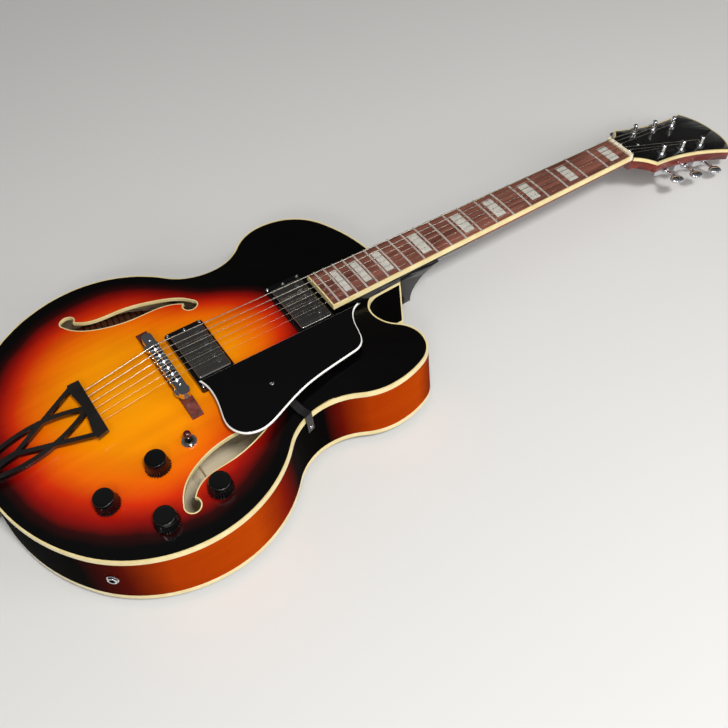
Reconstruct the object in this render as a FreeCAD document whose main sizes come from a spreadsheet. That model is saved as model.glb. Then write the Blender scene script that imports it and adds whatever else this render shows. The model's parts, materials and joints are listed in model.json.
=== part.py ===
import FreeCAD, Part
import math
import os

# Hollow-body archtop guitar lying on its back: X to the treble side, Y along the neck to the head,
# Z up out of the top. The origin is under the middle of the guitar, level with the crown of the back.
V = FreeCAD.Vector
UP = V(0, 0, 1)
ACROSS = V(1, 0, 0)

doc = FreeCAD.newDocument("archtop_guitar")
sheet = doc.addObject("Spreadsheet::Sheet", "Sizes")

# Driving sizes in millimetres and degrees. "at" values run along the body from its tail edge.
SIZES = {
    # body outline
    "body_length": 498, "lower_width": 396, "lower_at": 172, "waist_width": 248, "waist_at": 333,
    "upper_bass": 156, "upper_treble": 145, "upper_at": 410, "shoulder_half": 28, "shoulder_slope": 2,
    "horn_x": 105, "horn_at": 472, "cutaway_x": 47, "cutaway_at": 445, "cheek_x": 24,
    # shell
    "rim_depth": 74, "top_arch": 14, "back_arch": 12, "plate_thickness": 4.5, "rim_thickness": 3,
    "binding_width": 2, "binding_height": 6.5, "lining_width": 6, "lining_height": 12,
    "bar_width": 8, "bar_depth": 16, "bar_length": 300, "bar_spacing": 56, "bar_at": 238, "block_length": 58,
    "glue_gap": 0.05, "seat_gap": 0.1,
    # f-holes: the middle of each, as the photograph shows them, and the width of their edge strips
    "bass_hole_x": 111, "bass_hole_at": 216, "treble_hole_x": 121, "treble_hole_at": 224,
    "eye_radius": 8, "hole_strip": 1.4,
    # neck and fretboard
    "scale_length": 628, "fret_total": 20, "joint_fret": 14, "neck_angle": 3.1, "board_rise": 16.4,
    "board_thickness": 6.5, "board_crown": 1, "board_radius": 305, "nut_span": 43, "board_end_span": 57.5,
    "board_past_fret": 9, "board_binding": 1.6, "neck_depth_nut": 14.5, "neck_depth_joint": 17,
    "fret_width": 2.4, "fret_height": 1.1, "fret_inset": 0.3, "inlay_length": 13, "inlay_depth": 1.4,
    "dot_radius": 1,
    "nut_thickness": 5, "nut_height": 3.4, "heel_length": 52, "heel_drop": 60, "heel_foot": 34,
    "rod_radius": 2.6, "rod_clearance": 0.1, "rod_depth": 3, "rod_reach": 12, "rod_inset": 14,
    "rod_nut_radius": 3.6, "rod_nut_length": 8,
    # headstock
    "head_tilt": 14, "head_thickness": 14.5, "head_drop": 3.5, "head_length": 176, "head_binding": 1.8,
    "head_binding_depth": 4, "ear_half": 41, "ear_at": 27, "head_waist_half": 36.5, "head_waist_at": 80,
    "tip_half": 48, "tip_at": 158, "cover_length": 34, "cover_thickness": 2, "cover_start": 2,
    "cover_half": 13, "cover_tip": 4,
    # tuners
    "post_x": 26, "post_first": 47.5, "post_pitch": 36.8, "post_radius": 3, "post_height": 12.5, "post_cap": 1.2,
    "bush_radius": 4.9, "bush_flange": 6.2, "bush_rise": 2, "running_gap": 0.05,
    "housing_width": 17, "housing_length": 21, "housing_depth": 11, "gear_radius": 6, "gear_thickness": 3.4,
    "worm_radius": 2.1, "mesh_gap": 0.2, "housing_wall": 2.2, "button_reach": 24, "button_length": 15,
    "button_span": 21, "button_thickness": 8,
    # strings
    "string_span_nut": 35.5, "string_span_bridge": 52, "string_rise_nut": 2.7, "string_rise_bridge": 5,
    "string_span_tail": 48, "thin_string": 0.3, "thick_string": 1.2, "wrap_turns": 2, "wrap_gap": 0.6,
    "wrap_lift": 5, "string_bend": 4, "string_seat": 6,
    # bridge
    "bridge_setback": 2, "base_length": 140, "base_width": 13, "base_top": 20.5, "base_slope": 14,
    "bridge_post_span": 74, "post_sink": 4,
    "bridge_post_radius": 2, "wheel_radius": 8.5, "wheel_thickness": 3, "wheel_lift": 1.6,
    "bridge_length": 101, "bridge_width": 12, "bridge_height": 8, "saddle_width": 6, "saddle_length": 4.6,
    "saddle_slot": 9.8, "saddle_crest": 0.3, "saddle_depth": 5, "bridge_screw_radius": 1,
    # tailpiece
    "tail_bar_at": 120, "tail_bar_width": 13, "tail_bar_half": 39.5, "tail_bar_rise": 22, "tail_thickness": 4,
    "arm_width": 5.5, "stem_width": 9, "loop_half": 19.5, "hinge_rise": 6, "hinge_radius": 2.2,
    "hinge_half": 13, "ear_wall": 1.8, "ear_thickness": 3, "stem_length": 46,
    "bracket_gap": 0.5, "bracket_width": 30, "bracket_thickness": 2.2, "bracket_drop": 46, "pin_radius": 3.2,
    "pin_reach": 9, "pin_head": 7.5, "pin_flange": 3, "pin_screw": 2, "pin_sink": 20,
    # pickups
    "cover_span": 70, "cover_width": 38, "cover_depth": 17, "cover_wall": 0.8, "cover_top": -4.2,
    "neck_pickup_gap": 25, "bridge_pickup_gap": 39, "ring_span": 92, "ring_width": 45, "ring_top": -9.4,
    "ring_clearance": 0.4, "ring_screw_inset": 3.2, "screw_radius": 1.1, "screw_head": 2.2,
    "head_height": 1.2, "screw_sink": 9,
    "pole_radius": 2.4, "pole_rise": 0.4, "pole_span": 50, "height_screw_x": 41, "height_bolt": 1.45,
    "ear_margin": 3, "ear_width": 8, "cover_round": 1.1, "magnet_width": 10, "base_plate": 1.6,
    "pickup_room": 1,
    # pickguard
    "guard_top": -5.4, "guard_thickness": 2, "guard_edge_x": 36.5, "guard_out_x": 130, "guard_tail_at": 237,
    "guard_head_at": 436, "guard_screw_x": 84, "guard_screw_at": 298, "strap_width": 9, "strap_thickness": 2,
    "strap_drop": 22, "strap_lift": 3.5, "strap_gap": 0.5, "strap_seat": 0.3, "stand_back": 26,
    "stand_width": 8, "stand_length": 10,
    # controls
    "knob_radius": 13.9, "knob_top_radius": 10.6, "knob_height": 16, "skirt_height": 12, "knob_lift": 3,
    "skirt_slope": 2.2, "knob_cap": 4, "pot_drop": 1.5, "pot_gap": 1.5,
    "shaft_radius": 3, "bushing_radius": 4.7, "bushing_rise": 2.6, "pot_radius": 12, "pot_height": 9,
    "nut_radius": 6.6, "nut_rise": 2, "hole_gap": 0.15,
    "switch_x": 91, "switch_at": 195, "switch_bush": 5.6, "switch_nut": 8, "switch_rise": 3.5,
    "switch_case_radius": 9, "lever_radius": 1.6, "lever_ball": 2.8, "lever_pin": 0.9, "lever_pin_half": 4.2,
    "lever_length": 20, "lever_tip": 4.2, "switch_depth": 12,
    # output jack on the rim
    "jack_at": 67, "jack_drop": 33, "jack_bore": 3.2, "jack_barrel": 4.7, "jack_inner": 22, "jack_nut": 6.4,
    "jack_rise": 3.6, "jack_gap": 0.6, "jack_washer_rise": 1.2, "jack_end": 3,
    "wire_radius": 1, "wire_fall": 14, "wire_bend": 5, "wire_shift": 5,
}
for row, (alias, value) in enumerate(SIZES.items(), start=1):
    sheet.set("A%d" % row, alias)
    sheet.set("B%d" % row, str(value))
    sheet.setAlias("B%d" % row, alias)
doc.recompute()


def size(alias):
    return float(sheet.get(alias))


GLUE = size("glue_gap")
SEAT = size("seat_gap")
BIG = 60.0


# Places worked out from the driving sizes
def fret_distance(number):
    return size("scale_length") * (1 - 2 ** (-number / 12))


neck_tilt = math.radians(size("neck_angle"))
joint_reach = fret_distance(size("joint_fret"))
board_length = fret_distance(size("fret_total")) + size("board_past_fret")
edge_z = size("back_arch") + size("rim_depth")
nut_at = size("body_length") + joint_reach * math.cos(neck_tilt)
nut_z = edge_z + size("board_rise") - joint_reach * math.sin(neck_tilt)
head_tilt = neck_tilt + math.radians(size("head_tilt"))
head_end = nut_at + size("nut_thickness") * math.cos(neck_tilt) + size("head_length") * math.cos(head_tilt)
tail_end = -SEAT - GLUE - size("pin_reach")
middle = (head_end + tail_end) / 2
bridge_at = nut_at - (size("scale_length") + size("bridge_setback")) * math.cos(neck_tilt)

board_frame = FreeCAD.Placement(V(0, nut_at - middle, nut_z),
                                FreeCAD.Rotation(ACROSS, -size("neck_angle")))
head_frame = board_frame.multiply(FreeCAD.Placement(
    V(0, size("nut_thickness"), -size("head_drop")), FreeCAD.Rotation(ACROSS, -size("head_tilt"))))
SIDES = ((-1, "bass"), (1, "treble"))


def at(x, along, z):
    return V(x, along - middle, z)


def in_board(x, y, z):
    return board_frame.multVec(V(x, y, z))


def in_head(x, y, z):
    return head_frame.multVec(V(x, y, z))


# Document objects: primitives and booleans whose sizes are bound to the sheet
def add(kind, label, **bound):
    thing = doc.addObject(kind, label)
    thing.Label = label
    for prop, expression in bound.items():
        thing.setExpression(prop, expression)
    return thing


def place(thing, base, axis=UP):
    thing.Placement = FreeCAD.Placement(base, FreeCAD.Rotation(UP, axis))
    return thing


def cylinder(label, radius, height, base, axis=UP):
    return place(add("Part::Cylinder", label, Radius=radius, Height=height), base, axis)


def cone(label, low_radius, high_radius, height, base, axis=UP):
    return place(add("Part::Cone", label, Radius1=low_radius, Radius2=high_radius, Height=height), base, axis)


def hexagon(label, radius, height, base, axis=UP):
    return place(add("Part::Prism", label, Circumradius=radius, Height=height), base, axis)


def ball(label, radius, centre):
    return place(add("Part::Sphere", label, Radius=radius), centre)


def box(label, length, width, height, low, frame=FreeCAD.Placement()):
    thing = add("Part::Box", label, Length=length, Width=width, Height=height)
    thing.Placement = frame.multiply(FreeCAD.Placement(low, FreeCAD.Rotation()))
    return thing


def joined(label, things):
    whole = add("Part::MultiFuse", label)
    whole.Shapes = things
    return whole


def cut(label, base, tool):
    rest = add("Part::Cut", label)
    rest.Base, rest.Tool = base, tool
    return rest


def bundle(label, things):
    together = add("Part::Compound", label)
    together.Links = things
    return together


def rounded(label, base, radius, wanted):
    base.recompute()
    smooth = add("Part::Fillet", label)
    smooth.Base = base
    numbered = enumerate(base.Shape.Edges, start=1)
    smooth.Edges = [(index, radius, radius) for index, edge in numbered if wanted(edge)]
    return smooth


def padded(label, outline_curves, length, frame):
    body = add("PartDesign::Body", label)
    sketch = body.newObject("Sketcher::SketchObject", label + "_sketch")
    plane = [item for item in body.Origin.OriginFeatures if item.Role == "XY_Plane"][0]
    sketch.AttachmentSupport = (plane, [""])
    sketch.MapMode = "FlatFace"
    sketch.addGeometry(outline_curves, False)
    pad = body.newObject("PartDesign::Pad", label + "_pad")
    pad.Profile = sketch
    pad.setExpression("Length", length)
    body.Placement = frame
    return body


def polyline(corners):
    return [Part.LineSegment(a, b) for a, b in zip(corners, corners[1:] + corners[:1])]


def feature(label, shape):
    thing = add("Part::Feature", label)
    thing.Shape = shape
    return thing


def group(label, shapes):
    return feature(label, Part.makeCompound(shapes))


def upright(edge):
    return abs(edge.tangentAt(edge.FirstParameter).z) > 0.9


# Plain shapes
def tube(radius, start, end):
    return Part.makeCylinder(radius, (end - start).Length, start, end - start)


def block(low, high):
    return Part.makeBox(high.x - low.x, high.y - low.y, high.z - low.z, low)


def framed(shape, frame):
    moved = shape.copy()
    moved.Placement = frame.multiply(moved.Placement)
    return moved


def prism(wire, low, high):
    face = Part.Face(wire)
    face.translate(V(0, 0, low))
    return face.extrude(V(0, 0, high - low))


def tangent_arc(start, heading, end):
    chord = end - start
    turn = heading.x * chord.y - heading.y * chord.x
    angle = heading.getAngle(chord)
    if angle < 1e-4:
        return Part.LineSegment(start, end).toShape()
    side = V(chord.y, -chord.x, 0).normalize() * (1 if turn > 0 else -1)
    bulge = chord.Length / 2 * math.tan(angle / 2)
    return Part.Arc(start, (start + end) * 0.5 + side * bulge, end).toShape()


def biarc(start, out, end, arrive, ratio=1.0):
    reach = end - start
    spread = 2 * ratio * (1 - out.dot(arrive))
    run = reach.dot(out + arrive * ratio)
    first = (math.sqrt(run * run + spread * reach.dot(reach)) - run) / spread
    second = first * ratio
    meet = ((start + out * first) * second + (end - arrive * second) * first) * (1 / (first + second))
    return [tangent_arc(start, out, meet), tangent_arc(end, arrive * -1, meet)]


def s_curve(start, end, heading, share):
    meet = start + (end - start) * share
    return [tangent_arc(start, heading, meet), tangent_arc(end, heading * -1, meet)]


def closed(edges):
    return Part.Wire(Part.__sortEdges__(edges))


def inset(wire, distance):
    return wire.makeOffset2D(-distance)


def rounded_path(points, radii):
    edges = []
    here = points[0]
    for before, corner, after, radius in zip(points, points[1:], points[2:], radii):
        inward = (before - corner).normalize()
        onward = (after - corner).normalize()
        half = inward.getAngle(onward) / 2
        cut = radius / math.tan(half)
        first = corner + inward * cut
        last = corner + onward * cut
        centre = corner + (inward + onward).normalize() * (radius / math.sin(half))
        crown = centre + (corner - centre).normalize() * radius
        edges.append(Part.LineSegment(here, first).toShape())
        edges.append(Part.Arc(first, crown, last).toShape())
        here = last
    edges.append(Part.LineSegment(here, points[-1]).toShape())
    return edges


def swept_tube(edges, radius):
    path = Part.Wire(edges)
    start = edges[0].Vertexes[0].Point
    heading = (edges[0].Vertexes[1].Point - start).normalize()
    ring = Part.Wire([Part.Circle(start, heading, radius).toShape()])
    return path.makePipeShell([ring], True, False)


# Body outline: tail, bass side, neck joint, cutaway and horn, treble side
def body_outline():
    low_half = size("lower_width") / 2
    waist_half = size("waist_width") / 2
    lower_share, upper_share = 0.68, 0.5
    slope = math.radians(size("shoulder_slope"))
    north, south, east, west = V(0, 1, 0), V(0, -1, 0), V(1, 0, 0), V(-1, 0, 0)
    tail = at(0, 0, 0)
    shoulder = at(-size("shoulder_half"), size("body_length"), 0)
    cheek = at(size("cheek_x"), size("body_length"), 0)
    round_cheek = size("cutaway_x") - size("cheek_x")
    cheek_foot = at(size("cheek_x"), size("cutaway_at") + round_cheek, 0)
    cutaway = at(size("cutaway_x"), size("cutaway_at"), 0)
    horn = at(size("horn_x"), size("horn_at"), 0)

    def stations(side, name):
        return (at(side * low_half, size("lower_at"), 0), at(side * waist_half, size("waist_at"), 0),
                at(side * size("upper_" + name), size("upper_at"), 0))

    low, waist, top = stations(*SIDES[0])
    edges = biarc(tail, west, low, north)
    edges += s_curve(low, waist, north, lower_share)
    edges += s_curve(waist, top, north, upper_share)
    edges += biarc(top, north, shoulder, V(math.cos(slope), math.sin(slope), 0))
    edges.append(Part.LineSegment(shoulder, cheek).toShape())
    edges.append(Part.LineSegment(cheek, cheek_foot).toShape())
    edges.append(tangent_arc(cheek_foot, south, cutaway))
    edges += s_curve(cutaway, horn, east, 0.5)
    low, waist, top = stations(*SIDES[1])
    edges += biarc(horn, east, top, south)
    edges += s_curve(top, waist, south, upper_share)
    edges += s_curve(waist, low, south, 1 - lower_share)
    edges += biarc(low, south, tail, west)
    return closed(edges)


outline = body_outline()


# Arch: a stretched skin over the outline gives the swell, and a sine turns it up from a flat edge
def arch_grid():
    cell = 9.0
    corners = outline.discretize(Distance=4.0)
    box = outline.BoundBox
    columns = int(box.XLength / cell) + 4
    rows = int(box.YLength / cell) + 4
    left = (box.XMin + box.XMax) / 2 - cell * (columns - 1) / 2
    low = (box.YMin + box.YMax) / 2 - cell * (rows - 1) / 2

    def inside(x, y):
        found = False
        for a, b in zip(corners, corners[1:] + corners[:1]):
            if (a.y > y) != (b.y > y) and x < a.x + (b.x - a.x) * (y - a.y) / (b.y - a.y):
                found = not found
        return found

    skin = [[0.0] * rows for column in range(columns)]
    free = [(i, j) for i in range(1, columns - 1) for j in range(1, rows - 1)
            if inside(left + i * cell, low + j * cell)]
    relax = 1.85
    for sweep in range(160):
        for i, j in free:
            pull = (skin[i - 1][j] + skin[i + 1][j] + skin[i][j - 1] + skin[i][j + 1] + 1.0) / 4
            skin[i][j] += relax * (pull - skin[i][j])
    crown = max(max(column) for column in skin)
    swell = [[math.sin(math.pi / 2 * min(1.0, value / crown) ** 0.8) ** 2 for value in column]
             for column in skin]
    points = [[V(left + i * cell, low + j * cell, swell[i][j]) for j in range(0, rows, 2)]
              for i in range(0, columns, 2)]
    return points


arch_points = arch_grid()


def arch_surface(base, height):
    surface = Part.BSplineSurface()
    surface.interpolate([[V(p.x, p.y, base + height * p.z) for p in column] for column in arch_points])
    return surface


top_surface = arch_surface(edge_z, size("top_arch"))
back_surface = arch_surface(size("back_arch"), -size("back_arch"))
top_face = top_surface.toShape()
back_face = back_surface.toShape()


def lifted(face, lift, depth):
    moved = face.copy()
    moved.translate(V(0, 0, lift))
    return moved.extrude(V(0, 0, depth))


plate = size("plate_thickness")
top_slab = lifted(top_face, 0, -plate)
back_slab = lifted(back_face, 0, plate)
under_seat = lifted(top_face, SEAT, -BIG)
above_ceiling = lifted(top_face, -plate - GLUE, BIG)
below_floor = lifted(back_face, plate + GLUE, -BIG)


def top_point(x, along):
    u, v = top_surface.parameter(at(x, along, edge_z))
    return top_surface.value(u, v)


def top_normal(x, along):
    u, v = top_surface.parameter(at(x, along, edge_z))
    normal = top_surface.normal(u, v)
    return normal if normal.z > 0 else normal * -1


# Controls stand square to the arch: name, distance from the centre line, distance from the tail
KNOBS = (("neck_volume_knob", 100, 156), ("neck_tone_knob", 155, 196),
         ("bridge_volume_knob", 108, 97), ("bridge_tone_knob", 158, 136))
knob_axes = [(name, top_point(x, along), top_normal(x, along)) for name, x, along in KNOBS]
switch_point = top_point(size("switch_x"), size("switch_at"))
switch_axis = top_normal(size("switch_x"), size("switch_at"))
tilt_axis = (ACROSS - switch_axis * ACROSS.dot(switch_axis)).normalize()

# Pickup centres along the fretboard line
neck_pickup_y = -board_length - size("neck_pickup_gap")
bridge_pickup_y = -size("scale_length") + size("bridge_pickup_gap")
PICKUPS = (("neck", neck_pickup_y), ("bridge", bridge_pickup_y))


# f-hole: its two long edges pass through a few points, and its eyes are round
def f_hole(side, name, grow):
    centre_x, centre_at = size(name + "_hole_x"), size(name + "_hole_at")
    upper = (-31.5, 65.5)
    lower = (35, -59.5)
    outer = [(28.5, -53.5), (16, -36), (12, -4), (1, 36), (-15, 63), (-31.5, 73.5)]
    inner = [(-24.5, 60.5), (-14, 40), (-12, 9), (-4, -28), (15, -57), (35, -67.5)]

    def spread(points):
        moved = []
        for index, (x, y) in enumerate(points):
            before = points[max(index - 1, 0)]
            after = points[min(index + 1, len(points) - 1)]
            run = V(after[0] - before[0], after[1] - before[1], 0).normalize()
            moved.append(V(x + run.y * grow, y - run.x * grow, 0))
        return [at(side * (centre_x + p.x), centre_at + p.y, 0) for p in moved]

    def long_edge(points):
        curve = Part.BSplineCurve()
        curve.interpolate(spread(points))
        return curve.toShape()

    first, second = long_edge(outer), long_edge(inner)
    ends = [(first.Vertexes[1], second.Vertexes[0]), (second.Vertexes[1], first.Vertexes[0])]
    edges = [first, second] + [Part.LineSegment(a.Point, b.Point).toShape() for a, b in ends]
    low, high = edge_z - BIG / 2, edge_z + BIG / 2
    hole = prism(closed(edges), low, high)
    for x, y in (upper, lower):
        spot = at(side * (centre_x + x), centre_at + y, low)
        hole = hole.fuse(Part.makeCylinder(size("eye_radius") + grow, high - low, spot))
    return hole


# Screws: one size of pan-headed screw holds the trim, given by head point and direction
trim_screws = []
screw_holes = []


def screw(point, inward):
    radius, head, rise = size("screw_radius"), size("screw_head"), size("head_height")
    shank = tube(radius, point, point + inward * size("screw_sink"))
    dome = Part.makeCone(head, head * 0.7, rise, point, inward * -1)
    trim_screws.append(shank.fuse(dome))
    screw_holes.append(tube(radius + GLUE, point - inward * rise,
                            point + inward * (size("screw_sink") + GLUE)))


def drilled(shape):
    return shape.cut(screw_holes)


board_down = board_frame.Rotation.multVec(V(0, 0, -1))
head_down = head_frame.Rotation.multVec(V(0, 0, -1))


def outward_at(point):
    nearest = min(outline.Edges, key=lambda edge: edge.distToShape(Part.Vertex(point))[0])
    tangent = nearest.tangentAt(nearest.Curve.parameter(point))
    normal = V(tangent.y, -tangent.x, 0)
    return normal if normal.x * point.x > 0 else normal * -1


# Output jack: square to the treble rim, near the tail
jack_line = Part.LineSegment(at(0, size("jack_at"), 0), at(BIG * 10, size("jack_at"), 0)).toShape()
jack_wall = outline.distToShape(jack_line)[1][0][0]
jack_out = outward_at(jack_wall)
jack_point = jack_wall + UP * (edge_z - size("jack_drop"))

# Pickguard strap: from the guard's screw straight to the nearest point of the rim
guard_y = (size("guard_screw_at") - nut_at) / math.cos(neck_tilt)
guard_under = size("guard_top") - size("guard_thickness")
guard_spot = in_board(size("guard_screw_x"), guard_y, guard_under)
strap_rim = outline.distToShape(Part.Vertex(V(guard_spot.x, guard_spot.y, 0)))[1][0][0]
strap_run = strap_rim - V(guard_spot.x, guard_spot.y, 0)
strap_out = V(strap_run).normalize()

# Strap buttons: one at the tail, one on the bass side of the heel
heel_face_at = size("body_length") + SEAT
heel_top_z = edge_z + size("board_rise") - size("board_thickness") - size("neck_depth_joint") / 2
heel_foot_z = edge_z + size("board_rise") - size("board_thickness") - size("heel_drop")
end_pin_z = edge_z - size("bracket_drop") * 0.58


def half_span(y):
    run = -y / board_length
    return (size("nut_span") + (size("board_end_span") - size("nut_span")) * run) / 2


heel_half_top = half_span(-joint_reach)
heel_lean = math.atan2(heel_half_top - size("heel_foot") / 2, heel_top_z - heel_foot_z)
heel_out = V(-math.cos(heel_lean), 0, -math.sin(heel_lean))
heel_pin_drop = 0.6
heel_pin = at(heel_pin_drop * (heel_half_top - size("heel_foot") / 2) - heel_half_top,
              heel_face_at + size("pin_head") + 1,
              heel_top_z + heel_pin_drop * (heel_foot_z - heel_top_z)) + heel_out * SEAT
BUTTONS = (("tail_button", at(0, -SEAT - GLUE, end_pin_z), V(0, -1, 0)), ("heel_button", heel_pin, heel_out))
for name, base, out in BUTTONS:
    screw_holes.append(tube(size("pin_screw") + GLUE, base, base - out * (size("pin_sink") + GLUE)))


def place_screws():
    ring_x = size("ring_span") / 2 - size("ring_screw_inset")
    ring_y = size("ring_width") / 2 - size("ring_screw_inset")
    for name, pickup_y in PICKUPS:
        for x in (-ring_x, ring_x):
            for y in (-ring_y, ring_y):
                screw(in_board(x, pickup_y + y, size("ring_top") + GLUE), board_down)
    screw(in_board(size("guard_screw_x"), guard_y, size("guard_top") + GLUE), board_down)
    strap_face = strap_rim + strap_out * (size("strap_seat") + size("strap_thickness") + GLUE)
    screw(strap_face + UP * (edge_z - size("strap_drop") * 0.7), strap_out * -1)
    low_x, low_y = size("cover_half") - 2 * size("screw_head"), size("cover_start") + 2 * size("screw_head")
    for x, y in ((-low_x, low_y), (low_x, low_y), (0, size("cover_length") - 2 * size("screw_head"))):
        screw(in_head(x, y, size("cover_thickness") + 2 * GLUE), head_down)
    bracket_front = -SEAT - size("bracket_thickness") - GLUE
    for share in (0.3, 0.85):
        for side in (-1, 1):
            spot = at(side * size("bracket_width") / 3, bracket_front, edge_z - share * size("bracket_drop"))
            screw(spot, V(0, 1, 0))


# Shell of the body
def corner_strip(room):
    width = size("binding_width") + room
    low = size("back_arch") + size("binding_height") + GLUE - room
    high = edge_z - size("binding_height") - GLUE + room
    corner = at(size("cheek_x"), size("body_length"), low)
    strip = Part.makeBox(2 * width, 2 * width, high - low, corner - V(width, width, 0))
    return strip.common(prism(outline, low, high))


def top_openings():
    holes = [f_hole(side, name, size("hole_strip") + GLUE) for side, name in SIDES]
    half = size("cover_span") / 2 + size("pickup_room")
    wide = size("cover_width") / 2 + size("pickup_room")
    ear = size("height_screw_x") + size("ear_margin") + size("pickup_room")
    ear_wide = size("ear_width") / 2 + size("pickup_room")
    for name, y in PICKUPS:
        holes.append(framed(block(V(-half, y - wide, -BIG), V(half, y + wide, 0)), board_frame))
        holes.append(framed(block(V(-ear, y - ear_wide, -BIG), V(ear, y + ear_wide, 0)), board_frame))
    bore = size("bushing_radius") + size("hole_gap")
    for name, point, axis in knob_axes:
        holes.append(tube(bore, point - axis * BIG / 2, point + axis * BIG / 4))
    holes.append(tube(size("switch_bush") + size("hole_gap"), switch_point - switch_axis * BIG / 2,
                      switch_point + switch_axis * BIG / 4))
    return holes


# The sides are bent strips that meet at the tail, the neck, the horn and the widest and narrowest places
def rim_seams():
    wide, thick = size("lower_width"), size("rim_thickness")
    neck_end, horn = size("body_length"), size("horn_x")
    seams = [block(at(-GLUE / 2, -1, 0), at(GLUE / 2, 2 * thick, edge_z)),
             block(at(horn - GLUE / 2, size("upper_at"), 0), at(horn + GLUE / 2, neck_end, edge_z))]
    for along in (size("lower_at"), size("waist_at"), size("upper_at")):
        seams.append(block(at(-wide, along - GLUE / 2, 0), at(wide, along + GLUE / 2, edge_z)))
    for x in (thick - size("shoulder_half"), size("cheek_x") - thick):
        seams.append(block(at(x - GLUE, neck_end - 2 * thick, 0), at(x, neck_end + 1, edge_z)))
    return seams


def body_shell():
    core = inset(outline, size("binding_width") + GLUE)
    top = top_slab.common(prism(core, edge_z - BIG / 2, edge_z + BIG / 2))
    feature("top_plate", drilled(top.cut(top_openings())))
    feature("back_plate", back_slab.common(prism(core, -BIG / 4, BIG)))

    low = size("back_arch") + plate + GLUE
    high = edge_z - plate - GLUE
    ring = prism(outline, low, high).cut(prism(inset(outline, size("rim_thickness")), low - 1, high + 1))
    shoulder = size("binding_height") + GLUE
    ledge = prism(core, low - 1, high + 1)
    middle_band = prism(inset(outline, -1), size("back_arch") + shoulder, edge_z - shoulder)
    hole = tube(size("jack_barrel") + size("hole_gap"), jack_point - jack_out * BIG / 3,
                jack_point + jack_out * BIG)
    rim = ring.common(ledge.fuse(middle_band)).cut([hole, corner_strip(GLUE), above_ceiling, below_floor])
    feature("rim_sides", drilled(rim.cut(rim_seams())))

    inner = inset(outline, size("binding_width"))
    rings = [prism(outline, z, z + size("binding_height")).cut(prism(inner, z - 1, z + BIG))
             for z in (size("back_arch"), edge_z - size("binding_height"))]
    edging = [f_hole(side, name, size("hole_strip")).cut(f_hole(side, name, 0)).common(top_slab)
              for side, name in SIDES]
    group("body_bindings", rings + [corner_strip(0)] + edging)


def neck_block_solid(room):
    back = size("body_length") - size("rim_thickness") - GLUE
    low = at(size("rim_thickness") - size("shoulder_half") - room, back - size("block_length") - room,
             size("back_arch"))
    high = at(size("cheek_x") - size("rim_thickness") - GLUE + room, back, edge_z + size("top_arch"))
    return block(low, high)


def tail_block_solid(room):
    front = size("rim_thickness") + GLUE
    half = size("block_length") / 2
    low = at(-half - room, front, size("back_arch"))
    high = at(half + room, front + half + room, edge_z + size("top_arch"))
    return block(low, high).common(prism(inset(outline, front), 0, edge_z + BIG))


def inside_parts():
    outer = inset(outline, size("rim_thickness") + GLUE)
    inner = inset(outline, size("rim_thickness") + GLUE + size("lining_width"))
    blocks = [neck_block_solid(GLUE), tail_block_solid(GLUE)]
    braces = []
    for low in (size("back_arch") + plate + GLUE, edge_z - plate - GLUE - size("lining_height")):
        high = low + size("lining_height")
        ring = prism(outer, low, high).cut(prism(inner, low - 1, high + 1))
        braces += drilled(ring.cut(blocks + [above_ceiling, below_floor])).Solids
    bar_low = edge_z + size("top_arch") - plate - size("bar_depth")
    wide = size("cover_width") / 2 + size("pickup_room") * 3
    gaps = [framed(block(V(-BIG * 2, y - wide, -BIG), V(BIG * 2, y + wide, BIG)), board_frame)
            for name, y in PICKUPS]
    for side in (-1, 1):
        x = side * size("bar_spacing")
        low = at(x - size("bar_width") / 2, size("bar_at") - size("bar_length") / 2, bar_low)
        high = at(x + size("bar_width") / 2, size("bar_at") + size("bar_length") / 2, bar_low + BIG)
        braces += block(low, high).cut([above_ceiling] + gaps).Solids
    group("inner_bracing", braces)
    wood = [neck_block_solid(0), tail_block_solid(0)]
    group("end_blocks", [drilled(solid.cut([above_ceiling, below_floor])) for solid in wood])


# Neck with its heel, tongue and headstock
def board_plan(trim, start, end):
    corners = [V(-half_span(start) + trim, start, 0), V(half_span(start) - trim, start, 0),
               V(half_span(end) - trim, end, 0), V(-half_span(end) + trim, end, 0)]
    return Part.makePolygon(corners + corners[:1])


def neck_section(y, depth):
    half = half_span(y)
    under = -size("board_thickness") - GLUE
    left, right = V(-half, y, under), V(half, y, under)
    side, shoulder = 0.35 * depth, 0.72 * half
    bow = Part.BezierCurve()
    bow.setPoles([left, V(-half, y, under - side), V(-shoulder, y, under - depth), V(0, y, under - depth),
                  V(shoulder, y, under - depth), V(half, y, under - side), right])
    return Part.Wire([bow.toShape(), Part.LineSegment(right, left).toShape()])


def head_outline():
    start, tip_at = size("nut_span") / 2, size("tip_at")
    crown = V(0, size("head_length"), 0)
    edges = [Part.LineSegment(V(-start, 0, 0), V(start, 0, 0)).toShape()]
    for side in (-1, 1):
        root = V(side * start, 0, 0)
        corner = V(side * size("ear_half"), size("ear_at"), 0)
        tip = V(side * size("tip_half"), tip_at, 0)
        hollow = V(side * (start * 0.7 + size("ear_half") * 0.3), size("ear_at") * 0.5, 0)
        waist = V(side * size("head_waist_half"), size("head_waist_at"), 0)
        swell = V(side * size("tip_half") * 0.55, tip_at + (size("head_length") - tip_at) * 0.78, 0)
        edges += [Part.Arc(root, hollow, corner).toShape(), Part.Arc(corner, waist, tip).toShape(),
                  Part.Arc(tip, swell, crown).toShape()]
    return closed(edges)


head_wire = head_outline()


def head_binding(room):
    depth = size("head_binding_depth") + room
    outer = inset(head_wire, -1) if room else head_wire
    band = prism(outer, -depth, room).cut(prism(inset(head_wire, size("head_binding") + room), -BIG, BIG))
    root = block(V(-BIG, -BIG, -BIG), V(BIG, size("head_binding") - room, BIG))
    return framed(band.cut(root), head_frame)


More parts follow.
